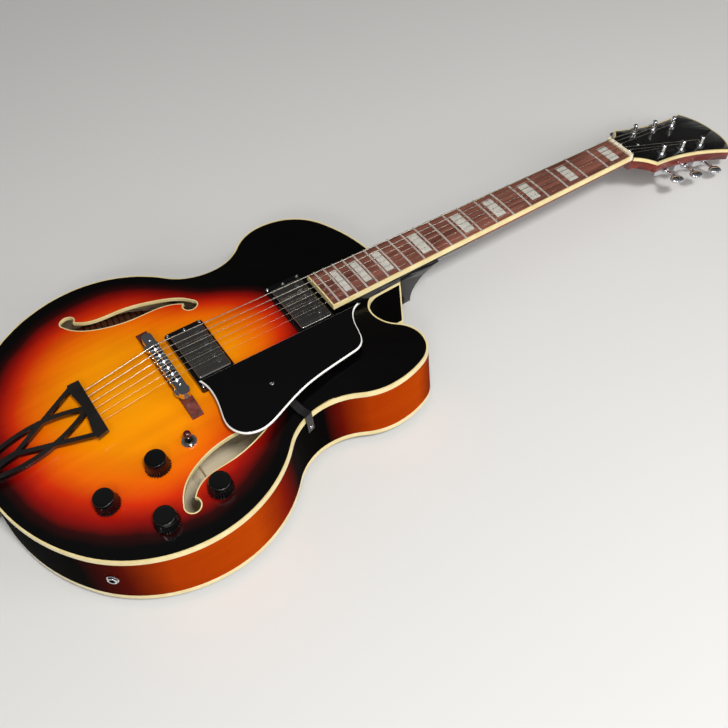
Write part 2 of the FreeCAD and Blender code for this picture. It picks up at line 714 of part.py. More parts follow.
def heel_solid():
    near, far = heel_face_at, heel_face_at + size("heel_length")
    toe = near + size("heel_length") * 0.3
    side_view = closed([
        Part.LineSegment(at(0, near, heel_top_z), at(0, near, heel_foot_z)).toShape(),
        Part.LineSegment(at(0, near, heel_foot_z), at(0, toe, heel_foot_z)).toShape(),
        tangent_arc_up(at(0, toe, heel_foot_z), at(0, far, heel_top_z)),
        Part.LineSegment(at(0, far, heel_top_z), at(0, near, heel_top_z)).toShape()])
    half, foot = heel_half_top, size("heel_foot") / 2
    heel = Part.Face(side_view).extrude(V(2 * half, 0, 0))
    heel.translate(V(-half, 0, 0))
    taper = Part.makePolygon([at(-half, near, heel_top_z), at(half, near, heel_top_z),
                              at(foot, near, heel_foot_z),
                              at(-foot, near, heel_foot_z), at(-half, near, heel_top_z)])
    return heel.common(Part.Face(taper).extrude(V(0, size("heel_length"), 0)))


def tangent_arc_up(start, end):
    run, rise = end.y - start.y, end.z - start.z
    bulge = V(0, start.y + run * 0.14, start.z + rise * 0.55)
    return Part.Arc(start, bulge, end).toShape()


rod_z = -size("board_thickness") - size("rod_radius") - size("rod_depth")


def neck_piece():
    under = -size("board_thickness") - GLUE
    shaft = Part.makeLoft([neck_section(0, size("neck_depth_nut")),
                           neck_section(-joint_reach, size("neck_depth_joint"))], True, True)
    collar = block(V(-size("nut_span") / 2, 0, under - size("neck_depth_nut") + 1),
                   V(size("nut_span") / 2, size("nut_thickness") + 3, under))
    tongue = prism(board_plan(size("board_binding"), 1 - joint_reach, 4 - board_length), under - BIG / 2,
                   under)
    body_space = block(at(-BIG, -BIG, 0), at(BIG, heel_face_at, edge_z + SEAT))
    tongue = framed(tongue, board_frame).cut([under_seat, body_space])
    head = framed(prism(head_wire, -size("head_thickness"), 0), head_frame)
    shaft = framed(shaft, board_frame).cut(body_space)
    neck = shaft.fuse([head, framed(collar, board_frame), heel_solid(), tongue]).removeSplitter()
    holes = [tube(size("bush_radius") + GLUE, in_head(x, y, BIG), in_head(x, y, -BIG))
             for number, x, y in POSTS]
    channel = tube(size("rod_radius") + size("rod_clearance"), in_board(0, size("rod_reach") + 1, rod_z),
                   in_board(0, size("rod_inset") - joint_reach - GLUE, rod_z))
    pocket = framed(block(V(-6, 0.5, -11.5), V(6, size("cover_length") - 12, BIG / 4)), head_frame)
    nut_room = framed(block(V(-BIG, -GLUE, under), V(BIG, size("nut_thickness") + GLUE, BIG)), board_frame)
    feature("neck", drilled(neck.cut([head_binding(GLUE), channel, pocket, nut_room] + holes)))


# Tuner posts: string number, distance from the centre line and distance from the nut
POSTS = []
for index in range(3):
    place_y = size("post_first") + index * size("post_pitch")
    POSTS += [(6 - index, -size("post_x"), place_y), (1 + index, size("post_x"), place_y)]


# Fretboard, its edge strips, frets, inlays and nut
def crown_solid():
    radius = size("board_radius")
    return framed(Part.makeCylinder(radius, board_length * 2, V(0, BIG, size("board_crown") - radius),
                                    V(0, -1, 0)),
                  board_frame)


def fret_crown(number):
    y = -fret_distance(number)
    base = size("board_crown") + GLUE
    left, right = V(0, y - size("fret_width") / 2, base), V(0, y + size("fret_width") / 2, base)
    profile = Part.Wire([Part.Arc(left, V(0, y, base + size("fret_height")), right).toShape(),
                         Part.LineSegment(right, left).toShape()])
    angle = math.degrees(math.asin((half_span(y) - size("fret_inset")) / size("board_radius")))
    axle = V(0, 0, size("board_crown") - size("board_radius"))
    face = Part.Face(profile)
    face.rotate(axle, V(0, 1, 0), -angle)
    return framed(face.revolve(axle, V(0, 1, 0), 2 * angle), board_frame)


BLOCK_FRETS = (1, 3, 5, 7, 9, 12, 15, 17, 19)
DOT_FRETS = (3, 5, 7, 9, 12, 15, 17, 19)


def between_frets(number):
    return (-fret_distance(number - 1) - fret_distance(number)) / 2


def inlay_block(number, room):
    y = between_frets(number)
    length = min(size("inlay_length"), (fret_distance(number) - fret_distance(number - 1)) * 0.62) / 2 + room
    half = half_span(y) * 0.66 + room
    low = V(-half, y - length, size("board_crown") - size("inlay_depth") - room)
    return framed(block(low, V(half, y + length, BIG)), board_frame)


def side_dot(number, room):
    y, z = between_frets(number), -size("board_thickness") / 2
    half = half_span(y)
    return tube(size("dot_radius") + room, in_board(-half - room, y, z),
                in_board(-half + size("board_binding") * 0.8 + room, y, z))


def fretboard_parts():
    thick, edge = size("board_thickness"), size("board_binding")
    crown = crown_solid()

    def board_slab(trim, start, stop):
        return framed(prism(board_plan(trim, start, stop), -thick, BIG / 6), board_frame)

    core = board_slab(edge + GLUE, 0, -board_length + edge + GLUE).common(crown)
    feature("fretboard", core.cut([inlay_block(number, GLUE) for number in BLOCK_FRETS]))
    dots = [side_dot(number, GLUE) for number in DOT_FRETS]
    inside = board_slab(edge, 1, -board_length + edge)
    strip = board_slab(0, 0, -board_length).common(crown).cut([inside] + dots)
    group("neck_bindings", [strip, head_binding(0)])
    group("frets", [fret_crown(number) for number in range(1, int(size("fret_total")) + 1)])
    blocks = [inlay_block(number, 0).common(crown) for number in BLOCK_FRETS]
    group("fretboard_inlays", blocks + [side_dot(number, 0) for number in DOT_FRETS])
    blank = box("nut_blank", "Sizes.nut_span", "Sizes.nut_thickness - Sizes.glue_gap",
                "Sizes.nut_height + Sizes.board_thickness", V(-size("nut_span") / 2, GLUE, -thick),
                board_frame)
    cut("nut", blank, group("nut_slots", nut_slots()))


def rod_and_cover():
    toward_body = board_frame.Rotation.multVec(V(0, -1, 0))
    bar = cylinder("rod_bar", "Sizes.rod_radius",
                   "Sizes.scale_length * (1 - 2 ^ (-Sizes.joint_fret / 12))"
                   " - Sizes.rod_inset + Sizes.rod_reach",
                   in_board(0, size("rod_reach"), rod_z), toward_body)
    key = cylinder("rod_nut", "Sizes.rod_nut_radius", "Sizes.rod_nut_length",
                   in_board(0, size("rod_reach") + size("rod_nut_length") / 2, rod_z), toward_body)
    joined("truss_rod", [bar, key])
    start, length = size("cover_start"), size("cover_length")
    half, tip = size("cover_half"), size("cover_tip")
    bow = (half + tip) / 2
    curves = [Part.LineSegment(V(-half, start, 0), V(half, start, 0)),
              Part.Arc(V(half, start, 0), V(bow, length * 0.5, 0), V(tip, length, 0)),
              Part.Arc(V(tip, length, 0), V(0, length + tip / 2, 0), V(-tip, length, 0)),
              Part.Arc(V(-tip, length, 0), V(-bow, length * 0.5, 0), V(-half, start, 0))]
    frame = head_frame.multiply(FreeCAD.Placement(V(0, 0, GLUE), FreeCAD.Rotation()))
    blank = padded("cover_blank", curves, "Sizes.cover_thickness", frame)
    cut("truss_rod_cover", blank, group("cover_holes", screw_holes))


# Strings: numbered from the thin treble string to the thick bass string
def string_x(number, span):
    return span / 2 - span * (number - 1) / 5


def string_radius(number):
    thin, thick = size("thin_string") / 2, size("thick_string") / 2
    return thin + (thick - thin) * ((number - 1) / 5) ** 1.4


def nut_slots():
    slots = []
    for number in range(1, 7):
        x, radius = string_x(number, size("string_span_nut")), string_radius(number)
        low = V(x - radius - SEAT, -1, size("string_rise_nut") - radius - GLUE)
        slots.append(framed(block(low, V(x + radius + SEAT, size("nut_thickness") + 1, BIG)), board_frame))
    return slots


# Tailpiece plane: from the hinge over the tail edge up to the crossbar
hinge_point = at(0, -SEAT, edge_z + size("hinge_rise"))
bar_point = at(0, size("tail_bar_at"), edge_z + size("tail_bar_rise"))
tail_rise = math.degrees(math.atan2(bar_point.z - hinge_point.z, bar_point.y - hinge_point.y))
tail_frame = FreeCAD.Placement(hinge_point, FreeCAD.Rotation(ACROSS, tail_rise))
tail_run = (bar_point - hinge_point).Length
tail_front = tail_run + size("tail_bar_width")


def string_edges(number, post_x, post_y):
    radius = string_radius(number)
    side = 1 if post_x > 0 else -1
    anchor = tail_frame.multVec(V(string_x(number, size("string_span_tail")),
                                  tail_front - size("string_seat"),
                                  size("tail_thickness") / 2))
    saddle = in_board(string_x(number, size("string_span_bridge")),
                      -size("scale_length") - size("bridge_setback"),
                      size("string_rise_bridge"))
    nut = in_board(string_x(number, size("string_span_nut")), size("nut_thickness"), size("string_rise_nut"))
    turn_radius = size("post_radius") + radius + SEAT
    flat = head_frame.inverse().multVec(nut)
    reach = V(post_x - flat.x, post_y - flat.y, 0)
    heading = math.atan2(reach.y, reach.x) + side * math.asin(turn_radius / reach.Length)
    start_angle = heading + side * math.pi / 2
    pitch = 2 * radius + size("wrap_gap")
    top_z = size("bush_rise") + size("wrap_lift")

    def spot(turn):
        angle = start_angle - side * 2 * math.pi * turn
        return in_head(post_x + turn_radius * math.cos(angle), post_y + turn_radius * math.sin(angle),
                       top_z - pitch * turn)

    edges = rounded_path([anchor, saddle, nut, spot(0)], (size("string_bend"), size("string_bend")))
    for step in range(int(4 * size("wrap_turns"))):
        edges.append(Part.Arc(spot(step / 4), spot((step + 0.5) / 4), spot((step + 1) / 4)).toShape())
    marks = [spot(step / 24) for step in range(int(24 * size("wrap_turns")) + 1)]
    gap = min((a - b).Length for index, a in enumerate(marks) for b in marks[index + 12:]) - 2 * radius
    return edges, gap


def string_set():
    made = [(number, string_edges(number, x, y)) for number, x, y in POSTS]
    group("strings", [swept_tube(edges, string_radius(number)) for number, (edges, gap) in made])
    print("least gap between the turns of a string %.2f mm" % min(gap for number, (edges, gap) in made))


# Tuners: housing and bushing fixed to the head, post with gear, and worm shaft with its button
def tuner_parts():
    fixed = []
    back = -size("head_thickness") - GLUE
    half = size("housing_width") / 2
    worm_z = back - size("housing_depth") / 2
    gear_low = worm_z - size("gear_thickness") / 2
    end_wall = size("housing_wall")
    for number, x, y in POSTS:
        side = 1 if x > 0 else -1
        out = V(side, 0, 0)
        worm_y = y + size("gear_radius") + size("worm_radius") + size("mesh_gap")
        low_y = y - size("gear_radius") - end_wall
        case = block(V(x - half, low_y, back - size("housing_depth")),
                     V(x + half, low_y + size("housing_length"), back))
        case = case.makeFillet(end_wall * 0.7, [edge for edge in case.Edges if upright(edge)])
        boss = Part.makeCylinder(size("worm_radius") + end_wall, 3, V(x + side * half, worm_y, worm_z), out)
        cavity = Part.makeCylinder(size("gear_radius") + 2 * size("mesh_gap"),
                                   size("gear_thickness") + 4 * size("mesh_gap"),
                                   V(x, y, gear_low - 2 * size("mesh_gap")))
        post_bore = Part.makeCylinder(size("post_radius") + size("running_gap"), BIG, V(x, y, gear_low))
        inner_end = V(x - side * (half - end_wall), worm_y, worm_z)
        worm_bore = Part.makeCylinder(size("worm_radius") + size("running_gap"), BIG, inner_end, out)
        fixed.append(framed(case.fuse(boss).cut([cavity, post_bore, worm_bore]), head_frame))
        depth = size("head_thickness") * 0.6
        sleeve = Part.makeCylinder(size("bush_radius"), depth, V(x, y, GLUE - depth))
        flange = Part.makeCylinder(size("bush_flange"), size("bush_rise"), V(x, y, GLUE))
        fixed.append(framed(sleeve.fuse(flange).cut(post_bore), head_frame))
        head_up = head_down * -1
        name = "tuner_post_%d" % number
        post = cylinder(name + "_shank", "Sizes.post_radius", "Sizes.post_height + Sizes.head_thickness"
                        " + Sizes.glue_gap + (Sizes.housing_depth + Sizes.gear_thickness) / 2",
                        in_head(x, y, gear_low), head_up)
        gear = cylinder(name + "_gear", "Sizes.gear_radius", "Sizes.gear_thickness",
                        in_head(x, y, gear_low), head_up)
        cap = cone(name + "_cap", "Sizes.post_radius", "Sizes.post_radius * 0.7", "Sizes.post_cap",
                   in_head(x, y, size("post_height")), head_up)
        eyelet = cylinder(name + "_eyelet", "Sizes.post_radius * 0.3", "Sizes.post_radius * 4",
                          in_head(x - 2 * size("post_radius"), y,
                                  size("post_height") - size("post_radius")), ACROSS)
        cut(name, joined(name + "_whole", [post, gear, cap]), eyelet)
        name = "tuner_button_%d" % number
        shaft = cylinder(name + "_shaft", "Sizes.worm_radius",
                         "Sizes.housing_width / 2 - Sizes.housing_wall - Sizes.mesh_gap + Sizes.button_reach",
                         head_frame.multVec(inner_end + out * size("mesh_gap")), out)
        grip = add("Part::Ellipsoid", name + "_grip", Radius1="Sizes.button_thickness / 2",
                   Radius2="Sizes.button_length / 2", Radius3="Sizes.button_span / 2")
        centre = V(x + side * (size("button_reach") + size("button_length") / 2 - 1), worm_y, worm_z)
        grip.Placement = head_frame.multiply(FreeCAD.Placement(centre, FreeCAD.Rotation(ACROSS, out)))
        joined(name, [shaft, grip])
    group("tuner_housings", fixed)


# Bridge: wooden base fitted to the arch, studs, wheels, bar with saddles
bridge_z = in_board(0, -size("scale_length") - size("bridge_setback"), size("string_rise_bridge")).z
base_top_z = edge_z + size("base_top")
wheel_z = base_top_z + size("wheel_lift")
bar_z = wheel_z + size("wheel_thickness") + GLUE
bar_top_z = bar_z + size("bridge_height")
slot_z = bar_top_z - size("saddle_depth")
screw_line_z = slot_z + size("saddle_depth") / 2
ALONG = V(0, 1, 0)
SIDEWAYS = FreeCAD.Rotation(V(1, 1, 1), 120)


def bridge_stand():
    half, wide, slope = size("base_length") / 2, size("base_width") / 2, size("base_slope")
    rise = size("base_top")
    corners = [V(-half, 0, 0), V(half, 0, 0), V(half, rise - slope / 3, 0), V(half - slope, rise, 0),
               V(slope - half, rise, 0), V(-half, rise - slope / 3, 0)]
    front = FreeCAD.Placement(at(0, bridge_at + wide, edge_z), FreeCAD.Rotation(ACROSS, 90))
    blank = padded("base_blank", polyline(corners), "Sizes.base_width", front)
    studs = []
    tools = [under_seat]
    for side, name in SIDES:
        spot = at(side * size("bridge_post_span") / 2, bridge_at, base_top_z - size("post_sink"))
        tools.append(Part.makeCylinder(size("bridge_post_radius") + GLUE, BIG, spot - UP * GLUE))
        studs.append(cylinder("stud_" + name, "Sizes.bridge_post_radius", "Sizes.post_sink + Sizes.wheel_lift"
                              " + Sizes.wheel_thickness + Sizes.bridge_height - 1", spot))
        rim = V(spot.x, spot.y, wheel_z)
        disc = cylinder("disc_" + name, "Sizes.wheel_radius", "Sizes.wheel_thickness", rim)
        bore = cylinder("bore_" + name, "Sizes.bridge_post_radius + Sizes.running_gap",
                        "Sizes.wheel_thickness", rim)
        cut(name + "_thumbwheel", disc, bore)
    cut("bridge_base", blank, group("base_tools", tools))
    bundle("bridge_posts", studs)


def bridge_bar():
    half, wide = size("bridge_length") / 2, size("bridge_width") / 2
    blank = box("bar_blank", "Sizes.bridge_length", "Sizes.bridge_width", "Sizes.bridge_height",
                at(-half, bridge_at - wide, bar_z))
    bar = rounded("bar_round", blank, size("bridge_width") * 0.42, upright)
    tools = [Part.makeCylinder(size("bridge_post_radius") + size("running_gap"), BIG,
                               at(side * size("bridge_post_span") / 2, bridge_at, bar_z - 1))
             for side, name in SIDES]
    screws, bores = [], []
    slot = size("saddle_slot") / 2
    for number in range(1, 7):
        x = string_x(number, size("string_span_bridge"))
        side = size("saddle_width") / 2 + SEAT
        tools.append(block(at(x - side, bridge_at - slot, slot_z),
                           at(x + side, bridge_at + slot, bar_z + BIG)))
        bores.append(tube(size("bridge_screw_radius") + GLUE, at(x, bridge_at - wide - 1, screw_line_z),
                          at(x, bridge_at + slot + 1, screw_line_z)))
        name = "saddle_screw_%d" % number
        bolt = cylinder(name + "_bolt", "Sizes.bridge_screw_radius",
                        "(Sizes.bridge_width + Sizes.saddle_slot) / 2 + 1",
                        at(x, bridge_at - wide - GLUE, screw_line_z), ALONG)
        head = cylinder(name + "_head", "Sizes.bridge_screw_radius * 1.8", "Sizes.head_height",
                        at(x, bridge_at - wide - GLUE, screw_line_z), V(0, -1, 0))
        screws.append(joined(name, [bolt, head]))
    cut("bridge_body", bar, group("bar_tools", tools + bores))
    bundle("saddle_screws", screws)
    length, crest = size("saddle_length") / 2, size("saddle_crest")
    floor, shoulder = slot_z + GLUE, screw_line_z + 2 * size("bridge_screw_radius")
    for number in range(1, 7):
        top = bridge_z - string_radius(number) - SEAT
        ramp = [V(-length, floor, 0), V(length, floor, 0), V(length, shoulder, 0), V(crest, top, 0),
                V(-crest, top, 0), V(-length, shoulder, 0)]
        x = string_x(number, size("string_span_bridge"))
        frame = FreeCAD.Placement(at(x - size("saddle_width") / 2, bridge_at, 0), SIDEWAYS)
        blank = padded("saddle_blank_%d" % number, polyline(ramp), "Sizes.saddle_width", frame)
        bore = cylinder("saddle_bore_%d" % number, "Sizes.bridge_screw_radius + Sizes.running_gap",
                        "Sizes.bridge_width", at(x, bridge_at - wide, screw_line_z), ALONG)
        cut("saddle_%d" % number, blank, bore)


# Tailpiece: crossbar, two arms meeting in a stem, and a pointed loop round them
def band(points, width, thick):
    arc = Part.Arc(*points)
    first, last = arc.FirstParameter, arc.LastParameter
    left, right = [], []
    for parameter in (first, (first + last) / 2, last):
        run = V(*arc.tangent(parameter)[0])
        across = V(run.y, -run.x, 0) * (width / 2)
        left.append(arc.value(parameter) + across)
        right.append(arc.value(parameter) - across)
    edges = [Part.Arc(*left).toShape(), Part.LineSegment(left[2], right[2]).toShape(),
             Part.Arc(*right).toShape(), Part.LineSegment(right[0], left[0]).toShape()]
    return prism(closed(edges), 0, thick)


def tailpiece_frame():
    thick, half = size("tail_thickness"), size("tail_bar_half")
    arm, stem = size("arm_width"), size("stem_width") / 2
    meet = size("stem_length")
    corners = [V(-half, tail_front, 0), V(half, tail_front, 0), V(half + 2, tail_run, 0),
               V(half - arm, tail_run - 2, 0), V(0, tail_run + 3, 0), V(arm - half, tail_run - 2, 0),
               V(-half - 2, tail_run, 0)]
    pieces = []
    for side in (-1, 1):
        pieces.append(band((V(side * (half - arm * 0.6), tail_run + 1, 0),
                            V(side * half * 0.43, tail_run * 0.66, 0),
                            V(side * stem / 3, meet, 0)), arm, thick))
        pieces.append(band((V(0, tail_run + 6, 0), V(side * size("loop_half"), tail_run * 0.5, 0),
                            V(side * (size("hinge_half") - arm), 0, 0)), arm, thick))
    pieces.append(prism(Part.makePolygon([V(-stem, 0, 0), V(stem, 0, 0), V(stem * 0.8, meet + 4, 0),
                                          V(-stem * 0.8, meet + 4, 0), V(-stem, 0, 0)]), 0, thick))
    wide = size("hinge_half")
    pieces.append(Part.makeCylinder(size("hinge_radius") + size("ear_wall"), 2 * wide,
                                    V(-wide, 0, thick / 2), ACROSS))
    bore = Part.makeCylinder(size("hinge_radius") + size("running_gap"), 2 * wide, V(-wide, 0, thick / 2),
                             ACROSS)
    seats = [Part.makeCylinder(string_radius(number) + 3 * SEAT, size("string_seat") + 1,
                               V(string_x(number, size("string_span_tail")), tail_front, thick / 2),
                               V(0, -1, 0))
             for number in range(1, 7)]
    bar = prism(Part.makePolygon(corners + corners[:1]), 0, thick)
    feature("tailpiece", framed(bar.fuse(pieces).cut([bore] + seats), tail_frame))


def tail_bracket():
    axle = tail_frame.multVec(V(0, 0, size("tail_thickness") / 2))
    ear = size("hinge_radius") + size("ear_wall")
    sheet_y = at(0, -SEAT - size("bracket_thickness"), 0).y
    low_z = edge_z - size("bracket_drop")
    top_gap = size("bracket_gap")
    flat = box("bracket_sheet", "Sizes.bracket_width", "Sizes.bracket_thickness",
               "Sizes.bracket_drop + Sizes.hinge_rise"
               " + Sizes.tail_thickness / 2 - Sizes.hinge_radius - Sizes.ear_wall - Sizes.bracket_gap",
               V(-size("bracket_width") / 2, sheet_y, low_z))
    reach = size("hinge_half") + top_gap
    pieces = [flat]
    for side, name in SIDES:
        low_x = reach if side > 0 else -reach - size("ear_thickness")
        pieces.append(box("ear_foot_" + name, "Sizes.ear_thickness", "Sizes.bracket_thickness",
                          "Sizes.bracket_drop / 4",
                          V(low_x, sheet_y, axle.z - size("bracket_drop") / 4)))
        pieces.append(cylinder("ear_" + name, "Sizes.hinge_radius + Sizes.ear_wall", "Sizes.ear_thickness",
                               V(low_x, axle.y, axle.z), ACROSS))
    pieces.append(cylinder("hinge_pin", "Sizes.hinge_radius", "2 * (Sizes.hinge_half + Sizes.bracket_gap"
                           " + Sizes.ear_thickness)", V(-reach - size("ear_thickness"), axle.y, axle.z),
                           ACROSS))
    stem = tube(size("pin_radius") + GLUE, at(0, -BIG, end_pin_z), at(0, BIG, end_pin_z))
    cut("tail_bracket", joined("bracket_whole", pieces), group("bracket_holes", screw_holes + [stem]))


def strap_buttons():
    made = []
    for name, base, out in BUTTONS:
        stem = cylinder(name + "_stem", "Sizes.pin_radius", "Sizes.pin_reach", base, out)
        flange = cylinder(name + "_flange", "Sizes.pin_head", "Sizes.pin_flange",
                          base + out * (size("pin_reach") - size("pin_flange")), out)
        thread = cylinder(name + "_screw", "Sizes.pin_screw", "Sizes.pin_sink", base, out * -1)
        made.append(joined(name, [stem, flange, thread]))
    bundle("strap_buttons", made)


# Pickups: ring on the arch, cover shell, and core of bobbins, magnet, base plate and pole screws
def pickup_ring(y):
    half, wide, room = size("ring_span") / 2, size("ring_width") / 2, size("ring_clearance")
    span, width = size("cover_span") / 2 + room, size("cover_width") / 2 + room
    ring = block(V(-half, y - wide, -BIG / 2), V(half, y + wide, size("ring_top")))
    ring = ring.makeFillet(size("ring_screw_inset"), [edge for edge in ring.Edges if upright(edge)])
    hole = block(V(-span, y - width, -BIG), V(span, y + width, BIG))
    lifts = [Part.makeCylinder(size("height_bolt") + SEAT, BIG * 2, V(side * size("height_screw_x"), y, -BIG))
             for side in (-1, 1)]
    return drilled(framed(ring.cut([hole] + lifts), board_frame).cut(under_seat))


def pickup_parts(name, y):
    span, width = size("cover_span"), size("cover_width")
    depth, wall = size("cover_depth"), size("cover_wall")
    top = size("cover_top")
    floor = top - depth
    row_y = width * 0.24
    poles = [V(string_x(number, size("pole_span")), y + row_y, floor - 1) for number in range(1, 7)]
    holes = [Part.makeCylinder(size("pole_radius") + GLUE, BIG, pole - UP * 2) for pole in poles]

    def top_rim(edge):
        return board_frame.inverse().multVec(edge.CenterOfMass).z > top - 0.01

    blank = box(name + "_cover_blank", "Sizes.cover_span", "Sizes.cover_width", "Sizes.cover_depth",
                V(-span / 2, y - width / 2, floor), board_frame)
    sides = rounded(name + "_cover_sides", blank, size("cover_round") * 2, upright)
    shell = rounded(name + "_cover_shell", sides, size("cover_round"), top_rim)
    inner = block(V(wall - span / 2, y - width / 2 + wall, floor - 1),
                  V(span / 2 - wall, y + width / 2 - wall, top - wall))
    tools = [framed(solid, board_frame) for solid in [inner] + holes]
    cut(name + "_pickup_cover", shell, group(name + "_cover_tools", tools))

    core = []
    for side in (-1, 1):
        middle_y = y + side * row_y
        low = V(-span / 2 + 3 * wall, middle_y - width * 0.2, floor + depth * 0.3)
        high = V(span / 2 - 3 * wall, middle_y + width * 0.2, top - wall - SEAT)
        bobbin = block(low, high)
        bobbin = bobbin.makeFillet(width * 0.18, [edge for edge in bobbin.Edges if upright(edge)])
        core.append(bobbin.cut(holes))
    magnet = size("magnet_width") / 2
    core.append(block(V(-span * 0.4, y - magnet, floor + GLUE),
                      V(span * 0.4, y + magnet, floor + depth * 0.3 - GLUE)))
    sheet_low = floor - size("base_plate")
    base = block(V(-span / 2, y - width / 2, sheet_low), V(span / 2, y + width / 2, floor - GLUE))
    ear = size("height_screw_x") + size("ear_margin")
    ears = block(V(-ear, y - size("ear_width") / 2, sheet_low),
                 V(ear, y + size("ear_width") / 2, floor - GLUE))
    lifts = [Part.makeCylinder(size("height_bolt") + SEAT, BIG,
                               V(side * size("height_screw_x"), y, floor - BIG / 2))
             for side in (-1, 1)]
    core.append(base.fuse(ears).cut(lifts + holes))
    core += [Part.makeCylinder(size("pole_radius"), depth + 1 + size("pole_rise"), pole) for pole in poles]
    group(name + "_pickup_core", [framed(solid, board_frame) for solid in core])
    for side in (-1, 1):
        seat = V(side * size("height_screw_x"), y, size("ring_top") + GLUE)
        bolt = Part.makeCylinder(size("height_bolt"), seat.z - floor + 8, V(seat.x, seat.y, floor - 8))
        head = Part.makeCone(size("screw_head"), size("screw_head") * 0.7, size("head_height"), seat)
        trim_screws.append(framed(bolt.fuse(head), board_frame))


# Pickguard: straight along the strings, swelling to the waist; strap to the rim and a block by the neck
def pickguard_parts():
    edge, out = size("guard_edge_x"), size("guard_out_x")
    tail, head = size("guard_tail_at"), size("guard_head_at")

    def plan(x, along):
        return V(x, (along - nut_at) / math.cos(neck_tilt), 0)

    def through(points):
        curve = Part.BSplineCurve()
        curve.interpolate([plan(x, along) for x, along in points])
        return curve

    shoulder = (out - 36, tail + 158)
    curves = [through([(edge, tail), (edge + 22, tail + 4), (out - 45, tail), (out - 24, tail - 3),
                       (out - 6, tail + 6),
                       (out, tail + 24), (out - 7, tail + 48), (out - 24, tail + 90),
                       (out - 32, tail + 130), shoulder]),
              through([shoulder, (out - 43, tail + 170), (edge + 26, head - 21), (edge + 7, head - 12),
                       (edge, head)]),
              Part.LineSegment(plan(edge, head), plan(edge, tail))]
    frame = board_frame.multiply(FreeCAD.Placement(V(0, 0, guard_under), FreeCAD.Rotation()))
    blank = padded("guard_blank", curves, "Sizes.guard_thickness", frame)
    cut("pickguard", blank, group("guard_holes", screw_holes))

    run, thick, gap = strap_run.Length + size("strap_seat"), size("strap_thickness"), size("strap_gap")
    edge_level = edge_z - guard_spot.z + thick + gap
    level, foot = edge_level + size("strap_lift"), edge_level - size("strap_drop")
    bend, start = size("strap_width"), -size("strap_width") * 0.7
    corners = [V(start, 0, 0), V(bend, 0, 0), V(run - bend, level, 0), V(run, level, 0), V(run, foot, 0),
               V(run + thick, foot, 0), V(run + thick, level + thick, 0), V(run - bend, level + thick, 0),
               V(bend + thick, thick, 0), V(start, thick, 0)]
    turn = FreeCAD.Rotation(UP, math.degrees(math.atan2(strap_out.y, strap_out.x)))
    corner = V(0, size("strap_width") / 2, -thick - gap)
    upright_plane = FreeCAD.Placement(corner, FreeCAD.Rotation(ACROSS, 90))
    fold = padded("strap_fold", polyline(corners), "Sizes.strap_width",
                  FreeCAD.Placement(guard_spot, turn).multiply(upright_plane))
    strap = cut("guard_strap", fold, group("strap_holes", screw_holes))
    near = plan(0, head - size("stand_back")).y
    stand = block(V(edge + 1, near, guard_under - BIG / 2),
                  V(edge + 1 + size("stand_width"), near + size("stand_length"), guard_under - GLUE))
    bundle("pickguard_bracket", [strap, feature("guard_stand", framed(stand, board_frame).cut(under_seat))])


# Controls: knobs with their shafts, pots under the top, nuts and the toggle switch
def control_knob(name, point, axis):
    def spot(height):
        return point + axis * height

    lift, skirt_height = size("knob_lift"), size("skirt_height")
    skirt = cone(name + "_skirt", "Sizes.knob_radius", "Sizes.knob_radius - Sizes.skirt_slope",
                 "Sizes.skirt_height",
                 spot(lift), axis)
    crown = cone(name + "_crown", "Sizes.knob_top_radius + Sizes.skirt_slope / 2", "Sizes.knob_top_radius",
                 "Sizes.knob_height - Sizes.skirt_height", spot(lift + skirt_height), axis)
    hollow = cylinder(name + "_hollow", "Sizes.nut_radius + 1", "Sizes.nut_rise + Sizes.bushing_rise",
                      spot(lift), axis)
    bore = cylinder(name + "_bore", "Sizes.shaft_radius + Sizes.glue_gap",
                    "Sizes.knob_height - Sizes.knob_cap",
                    spot(lift), axis)
    grip = cut(name + "_grip", joined(name + "_outside", [skirt, crown]),
               joined(name + "_inside", [hollow, bore]))
    shaft = cylinder(name + "_shaft", "Sizes.shaft_radius",
                     "Sizes.plate_thickness + Sizes.pot_drop + Sizes.knob_lift"
                     " + Sizes.knob_height - Sizes.knob_cap - Sizes.glue_gap",
                     spot(-plate - size("pot_drop")), axis)
    bundle(name, [grip, shaft])
    low = -plate - size("pot_drop") - size("pot_gap")
    sleeve = cylinder(name + "_sleeve", "Sizes.bushing_radius", "Sizes.plate_thickness + Sizes.pot_drop"
                      " + Sizes.pot_gap + Sizes.bushing_rise", spot(low), axis)
    case = cylinder(name + "_case", "Sizes.pot_radius", "Sizes.pot_height", spot(low), axis * -1)
    channel = cylinder(name + "_channel", "Sizes.shaft_radius + Sizes.running_gap", "Sizes.plate_thickness"
                       " + Sizes.pot_drop + 3 * Sizes.pot_gap + Sizes.bushing_rise",
                       spot(low - size("pot_gap")), axis)
    pot = cut(name + "_pot", joined(name + "_pot_whole", [sleeve, case]), channel)
    ring = hexagon(name + "_hexagon", "Sizes.nut_radius", "Sizes.nut_rise", spot(SEAT), axis)
    thread = cylinder(name + "_thread", "Sizes.bushing_radius + Sizes.glue_gap", "Sizes.nut_rise",
                      spot(SEAT), axis)
    return pot, cut(name + "_nut", ring, thread), spot(low - size("pot_height") - GLUE)


